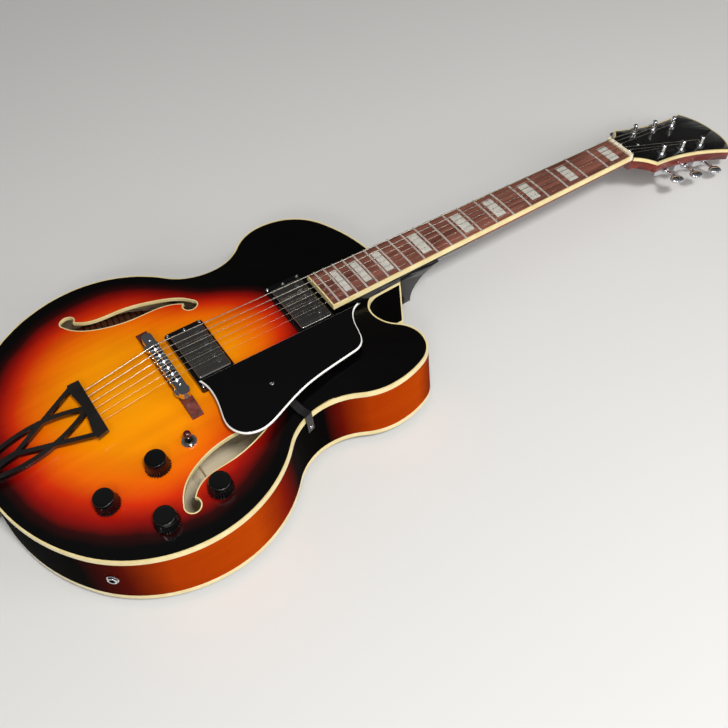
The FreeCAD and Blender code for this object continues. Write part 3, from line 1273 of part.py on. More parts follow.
def toggle_switch():
    def spot(height):
        return switch_point + switch_axis * height

    low, pivot = -plate - size("pot_drop"), -plate - size("pot_drop")
    bush = cylinder("switch_bushing", "Sizes.switch_bush", "Sizes.plate_thickness + Sizes.pot_drop"
                    " + Sizes.switch_rise", spot(low), switch_axis)
    case = cylinder("switch_case", "Sizes.switch_case_radius", "Sizes.switch_depth", spot(low),
                    switch_axis * -1)
    throat = cone("switch_throat", "Sizes.lever_radius + 0.4", "Sizes.switch_bush - 1.2",
                  "Sizes.plate_thickness"
                  " + Sizes.pot_drop + Sizes.switch_rise", spot(pivot), switch_axis)
    room = ball("switch_room", "Sizes.lever_ball + 0.3", spot(pivot))
    socket = cylinder("switch_socket", "Sizes.lever_pin + Sizes.running_gap",
                      "2 * Sizes.lever_pin_half + 2 * Sizes.seat_gap",
                      spot(pivot) - tilt_axis * (size("lever_pin_half") + SEAT), tilt_axis)
    switch = cut("switch_body", joined("switch_whole", [bush, case]),
                 joined("switch_hollow", [throat, room, socket]))
    disc = cylinder("switch_disc", "Sizes.switch_nut", "Sizes.nut_rise", spot(SEAT), switch_axis)
    thread = cylinder("switch_thread", "Sizes.switch_bush + Sizes.glue_gap", "Sizes.nut_rise", spot(SEAT),
                      switch_axis)
    rod = cylinder("lever_rod", "Sizes.lever_radius", "Sizes.lever_length", spot(pivot), switch_axis)
    root = ball("lever_root", "Sizes.lever_ball", spot(pivot))
    pin = cylinder("lever_axle", "Sizes.lever_pin", "2 * Sizes.lever_pin_half",
                   spot(pivot) - tilt_axis * size("lever_pin_half"), tilt_axis)
    tip = ball("lever_end", "Sizes.lever_tip", spot(pivot + size("lever_length")))
    joined("switch_lever", [rod, root, pin, tip])
    return switch, cut("switch_collar", disc, thread), spot(low - size("switch_depth") - GLUE)


def control_parts():
    made = [control_knob(*knob) for knob in knob_axes] + [toggle_switch()]
    bundle("control_bodies", [pot for pot, nut, lug in made])
    bundle("control_nuts", [nut for pot, nut, lug in made])
    axes = [axis for name, point, axis in knob_axes] + [switch_axis]
    return [(lug, axis) for (pot, nut, lug), axis in zip(made, axes)]


def output_jack():
    def spot(out):
        return jack_point + jack_out * out

    rim = size("rim_thickness") + size("jack_gap")
    barrel = cylinder("jack_tube", "Sizes.jack_barrel",
                      "Sizes.rim_thickness + Sizes.jack_gap + Sizes.jack_rise",
                      spot(-rim), jack_out)
    case = cylinder("jack_case", "Sizes.jack_nut", "Sizes.jack_inner", spot(-rim), jack_out * -1)
    washer = cylinder("jack_washer", "Sizes.jack_nut", "Sizes.jack_washer_rise",
                      spot(size("jack_gap") / 2), jack_out)
    ring = hexagon("jack_hexagon", "Sizes.jack_nut * 0.9", "Sizes.jack_rise - 0.6",
                   spot(size("jack_gap") / 2), jack_out)
    bore = cylinder("jack_hole", "Sizes.jack_bore", "Sizes.jack_inner + Sizes.rim_thickness + Sizes.jack_gap"
                    " + Sizes.jack_rise - Sizes.jack_end",
                    spot(size("jack_end") - rim - size("jack_inner")), jack_out)
    cut("output_jack", joined("jack_whole", [barrel, case, washer, ring]), bore)
    return spot(-rim - size("jack_inner") - GLUE)


# Wiring: leads that hang between the pots, the switch and the jack, under the top
def lead(start, start_axis, end, end_axis, fall):
    bend = size("wire_bend")
    route = [start, start - start_axis * fall, end - end_axis * fall, end]
    return swept_tube(rounded_path(route, (bend, bend)), size("wire_radius"))


def wiring(lugs, jack_end):
    neck_volume, neck_tone, bridge_volume, bridge_tone, switch = lugs
    fall = size("wire_fall")
    links = ((neck_volume, switch, -1, fall), (bridge_volume, neck_volume, 1, fall),
             (neck_tone, switch, 1, 1.5 * fall),
             (bridge_tone, neck_tone, -1, fall))
    wires = []
    for (start, first), (end, second), side, depth in links:
        shift = size("wire_shift") * side
        near = first.cross(V(0, 1, 0)).normalize() * shift
        far = second.cross(V(0, 1, 0)).normalize() * shift
        wires.append(lead(start + near, first, end + far, second, depth))
    start, axis = bridge_volume
    aside = axis.cross(V(1, 0, 0)).normalize() * size("wire_shift")
    wires.append(lead(start + aside, axis, jack_end, jack_out, fall))
    group("wiring_harness", wires)


place_screws()
body_shell()
inside_parts()
neck_piece()
fretboard_parts()
rod_and_cover()
string_set()
tuner_parts()
bridge_stand()
bridge_bar()
tailpiece_frame()
tail_bracket()
strap_buttons()
group("pickup_rings", [pickup_ring(y) for name, y in PICKUPS])
for name, y in PICKUPS:
    pickup_parts(name, y)
pickguard_parts()
wiring(control_parts(), output_jack())
group("trim_screws", trim_screws)
doc.recompute()

# Check every object, then write each sub-part that stands by itself
NODES = ["top_plate", "back_plate", "rim_sides", "body_bindings", "inner_bracing", "end_blocks", "neck",
         "neck_bindings", "fretboard", "frets", "fretboard_inlays", "nut", "truss_rod", "truss_rod_cover",
         "bridge_base", "bridge_posts", "bass_thumbwheel", "treble_thumbwheel", "bridge_body",
         "saddle_screws",
         "tailpiece", "tail_bracket", "strap_buttons", "pickup_rings", "neck_pickup_cover",
         "neck_pickup_core",
         "bridge_pickup_cover", "bridge_pickup_core", "pickguard", "pickguard_bracket", "control_bodies",
         "control_nuts", "switch_lever", "output_jack", "wiring_harness", "tuner_housings", "trim_screws",
         "strings"]
NODES += [name for name, point, axis in knob_axes]
NODES += ["saddle_%d" % number for number in range(1, 7)]
NODES += ["tuner_%s_%d" % (piece, number) for piece in ("post", "button") for number in range(1, 7)]
for thing in doc.Objects:
    if "Invalid" in thing.State or "Error" in thing.State:
        raise RuntimeError("%s did not build: %s" % (thing.Label, thing.State))
os.makedirs("parts", exist_ok=True)
shapes = {name: doc.getObjectsByLabel(name)[0].Shape for name in NODES}
for name, shape in shapes.items():
    if shape.isNull() or not shape.isValid():
        raise RuntimeError("%s has no valid shape" % name)
for name, shape in shapes.items():
    shape.exportStep(os.path.join("parts", name + ".step"))
print("%d parts written" % len(NODES))
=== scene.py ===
import bpy
import json
import math
from mathutils import Matrix, Vector
from mathutils.kdtree import KDTree


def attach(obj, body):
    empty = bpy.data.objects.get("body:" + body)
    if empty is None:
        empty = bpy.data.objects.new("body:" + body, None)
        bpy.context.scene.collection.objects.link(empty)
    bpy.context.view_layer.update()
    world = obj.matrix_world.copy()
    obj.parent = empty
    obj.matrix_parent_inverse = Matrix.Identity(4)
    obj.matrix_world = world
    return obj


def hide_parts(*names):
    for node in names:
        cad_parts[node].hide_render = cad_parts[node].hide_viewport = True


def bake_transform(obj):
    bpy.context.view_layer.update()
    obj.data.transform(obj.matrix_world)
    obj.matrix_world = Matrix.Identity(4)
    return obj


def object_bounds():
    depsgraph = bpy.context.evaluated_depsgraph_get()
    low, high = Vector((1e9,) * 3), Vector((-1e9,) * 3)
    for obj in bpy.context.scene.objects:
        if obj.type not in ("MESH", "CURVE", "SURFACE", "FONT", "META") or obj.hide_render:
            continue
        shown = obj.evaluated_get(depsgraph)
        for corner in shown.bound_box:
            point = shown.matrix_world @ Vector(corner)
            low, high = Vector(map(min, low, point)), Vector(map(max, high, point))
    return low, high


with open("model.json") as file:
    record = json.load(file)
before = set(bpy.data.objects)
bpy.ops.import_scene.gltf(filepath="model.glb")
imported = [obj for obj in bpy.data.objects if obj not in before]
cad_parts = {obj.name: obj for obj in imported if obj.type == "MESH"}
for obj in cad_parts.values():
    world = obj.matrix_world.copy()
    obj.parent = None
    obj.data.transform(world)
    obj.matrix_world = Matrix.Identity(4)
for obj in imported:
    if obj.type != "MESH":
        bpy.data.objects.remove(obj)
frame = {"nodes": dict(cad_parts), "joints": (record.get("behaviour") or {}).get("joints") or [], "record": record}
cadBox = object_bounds()
record = frame["record"]
bodyOf = {node: body for body, nodes in record["behaviour"]["bodies"].items() for node in nodes}
joints = {joint["name"]: joint for joint in frame["joints"]}
mm = 0.001
print("frame loaded with", len(bodyOf), "nodes")

# the neck, head and tailpiece planes, as the solids have them
layout = {"nut": (0, 0.340843, 0.083567), "neckTilt": 3.1, "headStep": (0, 0.005, -0.0035), "headTilt": 14,
          "tailHinge": (0, -0.505005, 0.092), "tailRise": 7.588, "tailEdge": -0.504905}


def turnX(degrees):
    return Matrix.Rotation(math.radians(degrees), 4, "X")


boardPlane = Matrix.Translation(layout["nut"]) @ turnX(-layout["neckTilt"])
headPlane = boardPlane @ Matrix.Translation(layout["headStep"]) @ turnX(-layout["headTilt"])
tailPlane = Matrix.Translation(layout["tailHinge"]) @ turnX(layout["tailRise"])


# shader helpers
def linear(level):
    return level / 255 / 12.92 if level < 11 else ((level / 255 + 0.055) / 1.055) ** 2.4


def rgb(red, green, blue):
    return (linear(red), linear(green), linear(blue), 1.0)


def addNode(tree, kind, inputs=None, **settings):
    made = tree.nodes.new("ShaderNode" + kind)
    for key, value in settings.items():
        setattr(made, key, value)
    for key, value in (inputs or {}).items():
        if isinstance(value, bpy.types.NodeSocket):
            tree.links.new(value, made.inputs[key])
        else:
            made.inputs[key].default_value = value
    return made


def maths(tree, operation, first, second=0.0, third=0.0):
    return addNode(tree, "Math", {0: first, 1: second, 2: third}, operation=operation).outputs[0]


def vectorMaths(tree, operation, first, second):
    made = addNode(tree, "VectorMath", {0: first, 1: second}, operation=operation)
    return made.outputs["Value" if operation in ("DOT_PRODUCT", "LENGTH") else "Vector"]


def mixed(tree, factor, first, second, mode="MIX"):
    made = addNode(tree, "Mix", {0: factor, 6: first, 7: second}, data_type="RGBA", blend_type=mode)
    return made.outputs[2]


def stepped(tree, value, low, high):
    made = addNode(tree, "MapRange", {"Value": value, "From Min": low, "From Max": high},
                   interpolation_type="SMOOTHSTEP")
    return made.outputs["Result"]


def noise(tree, vector, scale, detail, **more):
    return addNode(tree, "TexNoise", {"Vector": vector, "Scale": scale, "Detail": detail, **more}).outputs[0]


def axisOf(tree, vector, axis):
    return addNode(tree, "SeparateXYZ", {0: vector}).outputs[axis]


def ramp(tree, value, stops):
    made = addNode(tree, "ValToRGB", {"Fac": value})
    band = made.color_ramp
    while len(band.elements) < len(stops):
        band.elements.new(0.5)
    for element, (place, colour) in zip(band.elements, stops):
        element.position = place
        element.color = colour
    return made.outputs["Color"]


def startGroup(name, inputs, outputs):
    tree = bpy.data.node_groups.new(name, "ShaderNodeTree")
    for label, kind, value in inputs:
        socket = tree.interface.new_socket(name=label, in_out="INPUT", socket_type="NodeSocket" + kind)
        if value is not None:
            socket.default_value = value
    for label, kind in outputs:
        tree.interface.new_socket(name=label, in_out="OUTPUT", socket_type="NodeSocket" + kind)
    return tree, tree.nodes.new("NodeGroupInput").outputs, tree.nodes.new("NodeGroupOutput").inputs


def useGroup(tree, group, inputs):
    made = tree.nodes.new("ShaderNodeGroup")
    made.node_tree = group
    for key, value in inputs.items():
        if isinstance(value, bpy.types.NodeSocket):
            tree.links.new(value, made.inputs[key])
        else:
            made.inputs[key].default_value = value
    return made.outputs


# grain that runs along the length, for every wood
def makeGrain():
    tree, given, result = startGroup(
        "grain", [("Vector", "Vector", None), ("Light", "Color", None), ("Dark", "Color", None),
                  ("Across", "Float", 220.0), ("Along", "Float", 12.0), ("Pores", "Float", 0.3)],
        [("Colour", "Color"), ("Height", "Float")])
    across = given["Across"]
    scale = addNode(tree, "CombineXYZ", {"X": across, "Y": given["Along"], "Z": across}).outputs[0]
    stretched = vectorMaths(tree, "MULTIPLY", given["Vector"], scale)
    broad = noise(tree, stretched, 0.35, 4.0, Distortion=0.6)
    pore = stepped(tree, noise(tree, stretched, 3.0, 8.0, Roughness=0.7), 0.58, 0.72)
    shade = maths(tree, "MULTIPLY_ADD", pore, given["Pores"], stepped(tree, broad, 0.25, 0.75))
    tree.links.new(mixed(tree, shade, given["Light"], given["Dark"]), result["Colour"])
    tree.links.new(maths(tree, "MULTIPLY", pore, -1.0), result["Height"])
    return tree


# polished surface: faint smears and a slow ripple, for lacquer, plastic and metal
def makePolish():
    tree, given, result = startGroup(
        "polish", [("Vector", "Vector", None), ("Roughness", "Float", 0.1), ("Smear", "Float", 0.05),
                   ("Ripple", "Float", 60.0)],
        [("Roughness", "Float"), ("Height", "Float")])
    film = stepped(tree, noise(tree, given["Vector"], 26.0, 6.0, Distortion=1.2), 0.42, 0.72)
    tree.links.new(maths(tree, "MULTIPLY_ADD", film, given["Smear"], given["Roughness"]), result["Roughness"])
    tree.links.new(noise(tree, given["Vector"], given["Ripple"], 1.0), result["Height"])
    return tree


# shaded edge of the top and back: 0 in the middle of the lower bout, 1 at the rim
burst = {"lowerMiddle": (0, -0.335, 0), "lowerScale": (1 / 0.2, 1 / 0.175, 0),
         "upperMiddle": (0, -0.272, 0), "upperScale": (1 / 0.118, 1 / 0.165, 0), "join": 0.22, "drift": 0.07}


def makeBurst():
    tree, given, result = startGroup("burst", [("Vector", "Vector", None)], [("Shade", "Float")])
    spots = []
    for part in ("lower", "upper"):
        moved = vectorMaths(tree, "SUBTRACT", given["Vector"], burst[part + "Middle"])
        scaled = vectorMaths(tree, "MULTIPLY", moved, burst[part + "Scale"])
        spots.append(vectorMaths(tree, "LENGTH", scaled, (0, 0, 0)))
    reach = maths(tree, "SMOOTH_MIN", spots[0], spots[1], burst["join"])
    cloud = maths(tree, "SUBTRACT", noise(tree, given["Vector"], 14.0, 3.0), 0.5)
    tree.links.new(maths(tree, "MULTIPLY_ADD", cloud, burst["drift"], reach), result["Shade"])
    return tree


grain, polish, burstShade = makeGrain(), makePolish(), makeBurst()
print("shader groups made")


def startMaterial(name, finish):
    material = bpy.data.materials.new(name)
    material.use_nodes = True
    tree = material.node_tree
    shader = tree.nodes["Principled BSDF"]
    coords = addNode(tree, "TexCoord").outputs
    for key, value in finish.get("shader", {}).items():
        shader.inputs[key].default_value = value
    touch = useGroup(tree, polish, {"Vector": coords["Object"], "Roughness": finish["roughness"],
                                    "Smear": finish.get("smear", 0.04), "Ripple": finish.get("ripple", 60.0)})
    tree.links.new(touch["Roughness"], shader.inputs["Roughness"])
    return material, tree, shader, coords, touch


def finishBump(tree, shader, height, strength, distance):
    bump = addNode(tree, "Bump", {"Height": height, "Strength": strength, "Distance": distance})
    tree.links.new(bump.outputs[0], shader.inputs["Normal"])


lacquer = {"shader": {"Coat Roughness": 0.04}, "roughness": 0.32, "smear": 0.08, "ripple": 45.0}
bareWood = (rgb(252, 238, 208), rgb(238, 216, 176))
black = rgb(4, 3, 3)


# lacquered wood, shaded outside and bare inside the body
def lacquered(name, shadeOf, stops, bareSide, coat=0.3, veil=None, sheen=0.1):
    material, tree, shader, coords, touch = startMaterial(name, lacquer)
    shader.inputs["Specular IOR Level"].default_value = sheen
    vector = coords["Object"]
    figure = useGroup(tree, grain, {"Vector": vector, "Light": (1, 1, 1, 1), "Dark": (0.90, 0.84, 0.80, 1),
                                    "Across": 160.0, "Along": 9.0, "Pores": 0.15})
    tint = mixed(tree, 1.0, ramp(tree, shadeOf(tree, vector), stops), figure["Colour"], "MULTIPLY")
    if veil:
        tint = mixed(tree, veil(tree, vector), black, tint)
    inside = useGroup(tree, grain, {"Vector": vector, "Light": bareWood[0], "Dark": bareWood[1],
                                    "Across": 190.0, "Along": 10.0, "Pores": 0.3})
    bare = bareSide(tree, vector, coords["Normal"])
    tree.links.new(mixed(tree, bare, tint, inside["Colour"]), shader.inputs["Base Color"])
    tree.links.new(maths(tree, "MULTIPLY_ADD", bare, -coat, coat), shader.inputs["Coat Weight"])
    finishBump(tree, shader, touch["Height"], 0.03, 0.002)
    return material


def burstOf(tree, vector):
    return useGroup(tree, burstShade, {"Vector": vector})["Shade"]


def along(tree, vector):  # share of half a metre from the tail edge
    run = maths(tree, "SUBTRACT", axisOf(tree, vector, "Y"), layout["tailEdge"])
    return maths(tree, "MULTIPLY_ADD", noise(tree, vector, 9.0, 2.0), 0.03, maths(tree, "MULTIPLY", run, 2.0))


def clearOfMiddle(tree, vector):  # the cutaway's cheek and the tail stay black
    return stepped(tree, maths(tree, "ABSOLUTE", axisOf(tree, vector, "X")), 0.088, 0.118)


def facing(direction):
    def side(tree, vector, normal):
        return stepped(tree, vectorMaths(tree, "DOT_PRODUCT", normal, direction), 0.15, 0.35)
    return side


def inward(tree, vector, normal):  # the cutaway's cheek leans inward too, but closer to the middle
    lean = vectorMaths(tree, "DOT_PRODUCT", vectorMaths(tree, "MULTIPLY", normal, vector), (-1, 0, 0))
    return stepped(tree, lean, 0.095, 0.115)


topStops = [(0.0, rgb(255, 164, 0)), (0.36, rgb(252, 148, 0)), (0.56, rgb(242, 108, 0)),
            (0.69, rgb(212, 46, 4)), (0.78, rgb(150, 14, 6)), (0.855, rgb(44, 5, 4)), (0.91, black)]
backStops = [(0.0, rgb(198, 92, 22)), (0.4, rgb(186, 72, 16)), (0.62, rgb(150, 38, 12)),
             (0.78, rgb(84, 14, 8)), (0.88, rgb(28, 5, 4)), (0.95, black)]
rimStops = [(0.0, black), (0.1, black), (0.17, rgb(84, 14, 3)), (0.25, rgb(168, 56, 2)),
            (0.43, rgb(178, 66, 2)), (0.52, rgb(124, 20, 3)), (0.57, rgb(16, 4, 3)), (0.6, black),
            (0.68, black), (0.72, rgb(94, 12, 3)), (0.78, rgb(168, 56, 2)), (0.9, rgb(178, 66, 3)),
            (0.96, rgb(98, 18, 3)), (0.99, black)]
materials = {
    "top": lacquered("burstTop", burstOf, topStops, facing((0, 0, -1))),
    "back": lacquered("burstBack", burstOf, backStops, facing((0, 0, 1))),
    "rim": lacquered("burstRim", along, rimStops, inward, 0.03, clearOfMiddle, 0.0),
}


def plainWood(name, light, dark, roughness, across, alongScale, pores, coat=0.0, faceTint=None, kerf=None):
    finish = {"shader": {"Coat Weight": coat, "Coat Roughness": 0.05, "Specular IOR Level": 0.4},
              "roughness": roughness, "smear": 0.08}
    material, tree, shader, coords, touch = startMaterial(name, finish)
    wood = useGroup(tree, grain, {"Vector": coords["Object"], "Light": light, "Dark": dark, "Across": across,
                                  "Along": alongScale, "Pores": pores})
    colour = wood["Colour"]
    if faceTint:  # black painted face of the head; the neck also turns black towards the heel
        up = headPlane.to_3x3() @ Vector((0, 0, 1))
        level = vectorMaths(tree, "DOT_PRODUCT", coords["Object"], up)
        painted = maths(tree, "GREATER_THAN", level, up.dot(headPlane.translation) - 0.4 * mm)
        heel = stepped(tree, axisOf(tree, coords["Object"], "Y"), 0.14, 0.05)
        colour = mixed(tree, maths(tree, "MAXIMUM", painted, heel), colour, faceTint)
    if kerf:  # saw cuts of the lining, drawn as dark stripes of painted shade
        turn = maths(tree, "FRACT", maths(tree, "DIVIDE", axisOf(tree, coords["Object"], "Y"), kerf))
        cutShade = stepped(tree, maths(tree, "ABSOLUTE", maths(tree, "SUBTRACT", turn, 0.5)), 0.32, 0.4)
        # the cuts are not modelled; these dark stripes paint the shade inside them
        colour = mixed(tree, cutShade, colour, rgb(30, 8, 4))
    tree.links.new(colour, shader.inputs["Base Color"])
    height, strength = (touch["Height"], 0.03) if coat else (wood["Height"], 0.25)
    finishBump(tree, shader, height, strength, 0.0006)
    return material


materials["bare"] = plainWood("bareSpruce", *bareWood, 0.6, 190.0, 10.0, 0.3)
materials["lining"] = plainWood("kerfedLining", rgb(150, 78, 46), rgb(116, 54, 32), 0.6, 190.0, 10.0, 0.3,
                                kerf=0.007)
materials["neck"] = plainWood("neckLacquer", rgb(132, 40, 18), rgb(88, 22, 12), 0.3, 240.0, 12.0, 0.35,
                              coat=0.25, faceTint=black)
materials["board"] = plainWood("rosewoodBoard", rgb(146, 90, 74), rgb(88, 46, 37), 0.42, 420.0, 14.0, 0.55)
materials["base"] = plainWood("rosewoodBase", rgb(122, 60, 50), rgb(74, 32, 26), 0.4, 300.0, 300.0, 0.4)


def smooth(name, colour, second, roughness, mottle, extra=None, smear=0.06, swirl=0.3):
    finish = {"shader": extra or {}, "roughness": roughness, "smear": smear}
    material, tree, shader, coords, touch = startMaterial(name, finish)
    cloud = stepped(tree, noise(tree, coords["Object"], mottle, 5.0, Distortion=swirl), 0.3, 0.7)
    tree.links.new(mixed(tree, cloud, colour, second), shader.inputs["Base Color"])
    finishBump(tree, shader, touch["Height"], 0.02, 0.001)
    return material


def gloss(level):
    return {"Specular IOR Level": level}


coated = {"Coat Weight": 0.6, "Coat Roughness": 0.05}
steel = {"Metallic": 1.0}
nickel = {"Metallic": 0.5}
finishes = {
    "binding": ("creamBinding", rgb(240, 222, 164), rgb(228, 206, 144), 0.3, 60.0, coated),
    "pearl": ("pearlBlock", rgb(214, 208, 194), rgb(184, 182, 176), 0.22, 120.0, coated, 0.06, 3.0),
    "bone": ("boneNut", rgb(240, 232, 206), rgb(226, 214, 182), 0.4, 180.0),
    "black": ("blackPlastic", rgb(12, 12, 13), rgb(7, 7, 8), 0.16, 30.0, gloss(0.5)),
    "knob": ("knobPlastic", rgb(6, 6, 7), rgb(3, 3, 4), 0.14, 50.0, gloss(0.45)),
    "coil": ("coilTape", rgb(20, 19, 18), rgb(10, 10, 10), 0.6, 200.0),
    "wire": ("wireCover", rgb(176, 156, 120), rgb(142, 122, 90), 0.6, 300.0),
    "chrome": ("brightChrome", rgb(222, 223, 226), rgb(206, 207, 210), 0.06, 20.0, steel),
    # darker copies of the chrome for the pickup covers and the tailpiece: painted shade in the base colour,
    # standing in for the dark surroundings they reflect
    "cover": ("coverChromeWithPaintedShade", rgb(186, 182, 178), rgb(170, 166, 162), 0.1, 16.0, steel, 0.07),
    "dark": ("chromeWithPaintedShade", rgb(112, 107, 104), rgb(92, 88, 86), 0.2, 20.0, steel, 0.08),
    "paint": ("blackPaint", rgb(38, 36, 36), rgb(26, 25, 25), 0.3, 60.0, gloss(0.4)),
    "plainSteel": ("plainSteel", rgb(168, 166, 160), rgb(140, 138, 132), 0.34, 90.0, steel),
    "fret": ("fretWire", rgb(236, 226, 216), rgb(220, 208, 198), 0.3, 90.0, nickel),
    "string": ("stringSteel", rgb(214, 208, 194), rgb(192, 184, 166), 0.2, 300.0, steel),
    "tip": ("switchTip", rgb(74, 14, 12), rgb(40, 8, 8), 0.2, 60.0, coated),
}
for finish, values in finishes.items():
    materials[finish] = smooth(*values)
print("materials made:", len(materials))


# modelling helpers
def rounded(values, digits):
    return tuple(round(value, digits) for value in values)


def pick(*things):
    if bpy.context.object and bpy.context.object.mode != "OBJECT":
        bpy.ops.object.mode_set(mode="OBJECT")
    bpy.ops.object.select_all(action="DESELECT")
    for thing in things:
        thing.select_set(True)
    bpy.context.view_layer.objects.active = things[0]
    return things[0]


def editMode(piece, chosen=None, mode="VERT"):
    pick(piece)
    bpy.ops.object.mode_set(mode="EDIT")
    bpy.ops.mesh.select_mode(type=mode)
    bpy.ops.mesh.select_all(action="SELECT" if chosen is None else "DESELECT")
    if chosen is not None:
        bpy.ops.object.mode_set(mode="OBJECT")
        members = piece.data.vertices if mode == "VERT" else piece.data.polygons
        for member in members:
            member.select = chosen(member)
        bpy.ops.object.mode_set(mode="EDIT")


def done():
    bpy.ops.object.mode_set(mode="OBJECT")


def modify(piece, kind, **settings):
    pick(piece)
    modifier = piece.modifiers.new(kind.lower(), kind)
    for key, value in settings.items():
        setattr(modifier, key, value)
    bpy.ops.object.modifier_apply(modifier=modifier.name)


def roundEdges(piece, width, segments=2, angle=35):
    modify(piece, "BEVEL", width=width * mm, segments=segments, limit_method="ANGLE",
           angle_limit=math.radians(angle), use_clamp_overlap=True, miter_outer="MITER_ARC")


def smoothed(piece, angle=40):
    pick(piece)
    bpy.ops.object.shade_smooth_by_angle(angle=math.radians(angle))
    modify(piece, "WEIGHTED_NORMAL", mode="FACE_AREA", weight=100, keep_sharp=True)


def settle(piece, name, body, material, nodes=()):
    piece.name = piece.data.name = name
    piece.data.materials.clear()
    piece.data.materials.append(materials[material])
    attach(piece, body)
    if nodes:
        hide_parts(*nodes)
    return piece


def placed(source, place):
    copy = source.copy()
    copy.data = source.data.copy()
    bpy.context.scene.collection.objects.link(copy)
    copy.data.transform(place)
    return copy


def merged(pieces):
    pick(*pieces)
    bpy.ops.object.join()
    return bpy.context.object


def drop(*pieces):
    for piece in pieces:
        bpy.data.objects.remove(piece)


def upAlong(point, axis):
    turn = Vector((0, 0, 1)).rotation_difference(Vector(axis)).to_matrix().to_4x4()
    return Matrix.Translation(point) @ turn


def drum(radius, depth, base=0.0, sides=32, topRadius=None):
    middle = (0, 0, (base + depth / 2) * mm)
    bpy.ops.object.select_all(action="DESELECT")
    bpy.ops.mesh.primitive_cone_add(vertices=sides, radius1=radius * mm, depth=depth * mm, location=middle,
                                    radius2=(radius if topRadius is None else topRadius) * mm)
    bpy.ops.object.transform_apply(location=True, rotation=True, scale=True)
    return bpy.context.object


def slab(length, width, height, base=0.0):
    bpy.ops.object.select_all(action="DESELECT")
    bpy.ops.mesh.primitive_cube_add(size=1, location=(0, 0, (base + height / 2) * mm),
                                    scale=(length * mm, width * mm, height * mm))
    bpy.ops.object.transform_apply(location=True, rotation=True, scale=True)
    return bpy.context.object


def carve(piece, *tools):
    for tool in tools:
        modify(piece, "BOOLEAN", operation="DIFFERENCE", object=tool, solver="EXACT")
    drop(*tools)


# the solids' own shapes, with their seams closed, curves smoothed and edges eased
eased = {
    # the dark and cover finishes are chrome with painted shade in their darker base colour
    "tailpiece": ("dark", 0.5), "tail_bracket": ("dark", 0.3), "bridge_body": ("chrome", 0.5),
    "bridge_base": ("base", 0.7), "pickup_rings": ("black", 0.6), "truss_rod_cover": ("black", 0.4),
    "nut": ("bone", 0.2), "tuner_housings": ("chrome", 0.6), "output_jack": ("chrome", 0.25),
    "control_nuts": ("chrome", 0.3), "strap_buttons": ("chrome", 0.5), "pickguard_bracket": ("paint", 0.35),
    "switch_lever": ("chrome", 0), "top_plate": ("top", 0), "back_plate": ("back", 0),
    "rim_sides": ("rim", 0), "neck": ("neck", 0), "body_bindings": ("binding", 0.25),
    "neck_bindings": ("binding", 0.2), "neck_pickup_cover": ("cover", 0), "bridge_pickup_cover": ("cover", 0),
    "fretboard": ("board", 0), "frets": ("fret", 0), "fretboard_inlays": ("pearl", 0),
    "bridge_posts": ("chrome", 0.2), "saddle_screws": ("chrome", 0.15),
}
for number in range(1, 7):
    eased["saddle_%d" % number] = ("chrome", 0.2)
    eased["tuner_post_%d" % number] = ("chrome", 0.2)
plainNodes = {"inner_bracing": "lining", "end_blocks": "bare", "truss_rod": "plainSteel",
              "neck_pickup_core": "coil", "bridge_pickup_core": "coil", "control_bodies": "plainSteel",
              "wiring_harness": "wire"}


def camel(node):
    first, *rest = node.split("_")
    return first + "".join(word.capitalize() for word in rest)


def startCopy(node, flatten):
    piece = bpy.data.objects.new(node, frame["nodes"][node].data.copy())
    bpy.context.scene.collection.objects.link(piece)
    editMode(piece)
    bpy.ops.mesh.remove_doubles(threshold=0.002 * mm)
    if flatten:
        bpy.ops.mesh.dissolve_limited(angle_limit=math.radians(0.6))
    done()
    return piece


def easedCopy(node, material, width):
    piece = startCopy(node, width > 0)
    if width:
        roundEdges(piece, width)
    smoothed(piece)
    if node in guides:
        followGuide(piece, guides[node])
    if node == "rim_sides":
        roundWall(piece)
    return settle(piece, camel(node), bodyOf[node], material, (node,))


# clean stand-ins for the arches, whose normals the triangulated copies take over
arch = {"backEdge": 12, "backArch": 12, "topEdge": 86, "topArch": 14, "binding": 6.6, "slack": 0.5,
        "lip": 1.5, "margin": 40, "length": 560, "middle": 250, "cell": 6, "passes": 12}


def archGuides():
    width, length = cadBox[1].x - cadBox[0].x + arch["margin"] * mm, arch["length"] * mm
    bpy.ops.object.select_all(action="DESELECT")
    bpy.ops.mesh.primitive_grid_add(x_subdivisions=int(width / mm / arch["cell"]), size=1,
                                    y_subdivisions=int(length / mm / arch["cell"]),
                                    location=(0, layout["tailEdge"] + arch["middle"] * mm, -mm),
                                    scale=(width, length, 1))
    bpy.ops.object.transform_apply(location=True, rotation=True, scale=True)
    back = bpy.context.object
    modify(back, "SHRINKWRAP", target=frame["nodes"]["back_plate"], wrap_method="PROJECT", use_project_z=True,
           use_positive_direction=True, use_negative_direction=False)
    for spot in back.data.vertices:
        if spot.co.z < -arch["slack"] * mm:
            spot.co.z = arch["backEdge"] * mm
    modify(back, "SMOOTH", factor=0.5, iterations=arch["passes"])
    top = placed(back, Matrix.Identity(4))
    for spot in top.data.vertices:
        rise = (arch["backEdge"] - spot.co.z / mm) * arch["topArch"] / arch["backArch"]
        spot.co.z = (arch["topEdge"] + rise) * mm
    editMode(back)
    bpy.ops.mesh.flip_normals()
    done()
    return top, back


def followGuide(piece, guide):
    source, wanted = guide
    modify(piece, "EDGE_SPLIT", use_edge_angle=True, split_angle=math.radians(30), use_edge_sharp=True)
    chosen = piece.vertex_groups.new(name="follow")
    picked = {index for face in piece.data.polygons if wanted(face) for index in face.vertices}
    chosen.add(sorted(picked), 1.0, "REPLACE")
    modify(piece, "DATA_TRANSFER", object=source, use_loop_data=True, data_types_loops={"CUSTOM_NORMAL"},
           loop_mapping="POLYINTERP_NEAREST", vertex_group="follow")
    piece.vertex_groups.clear()


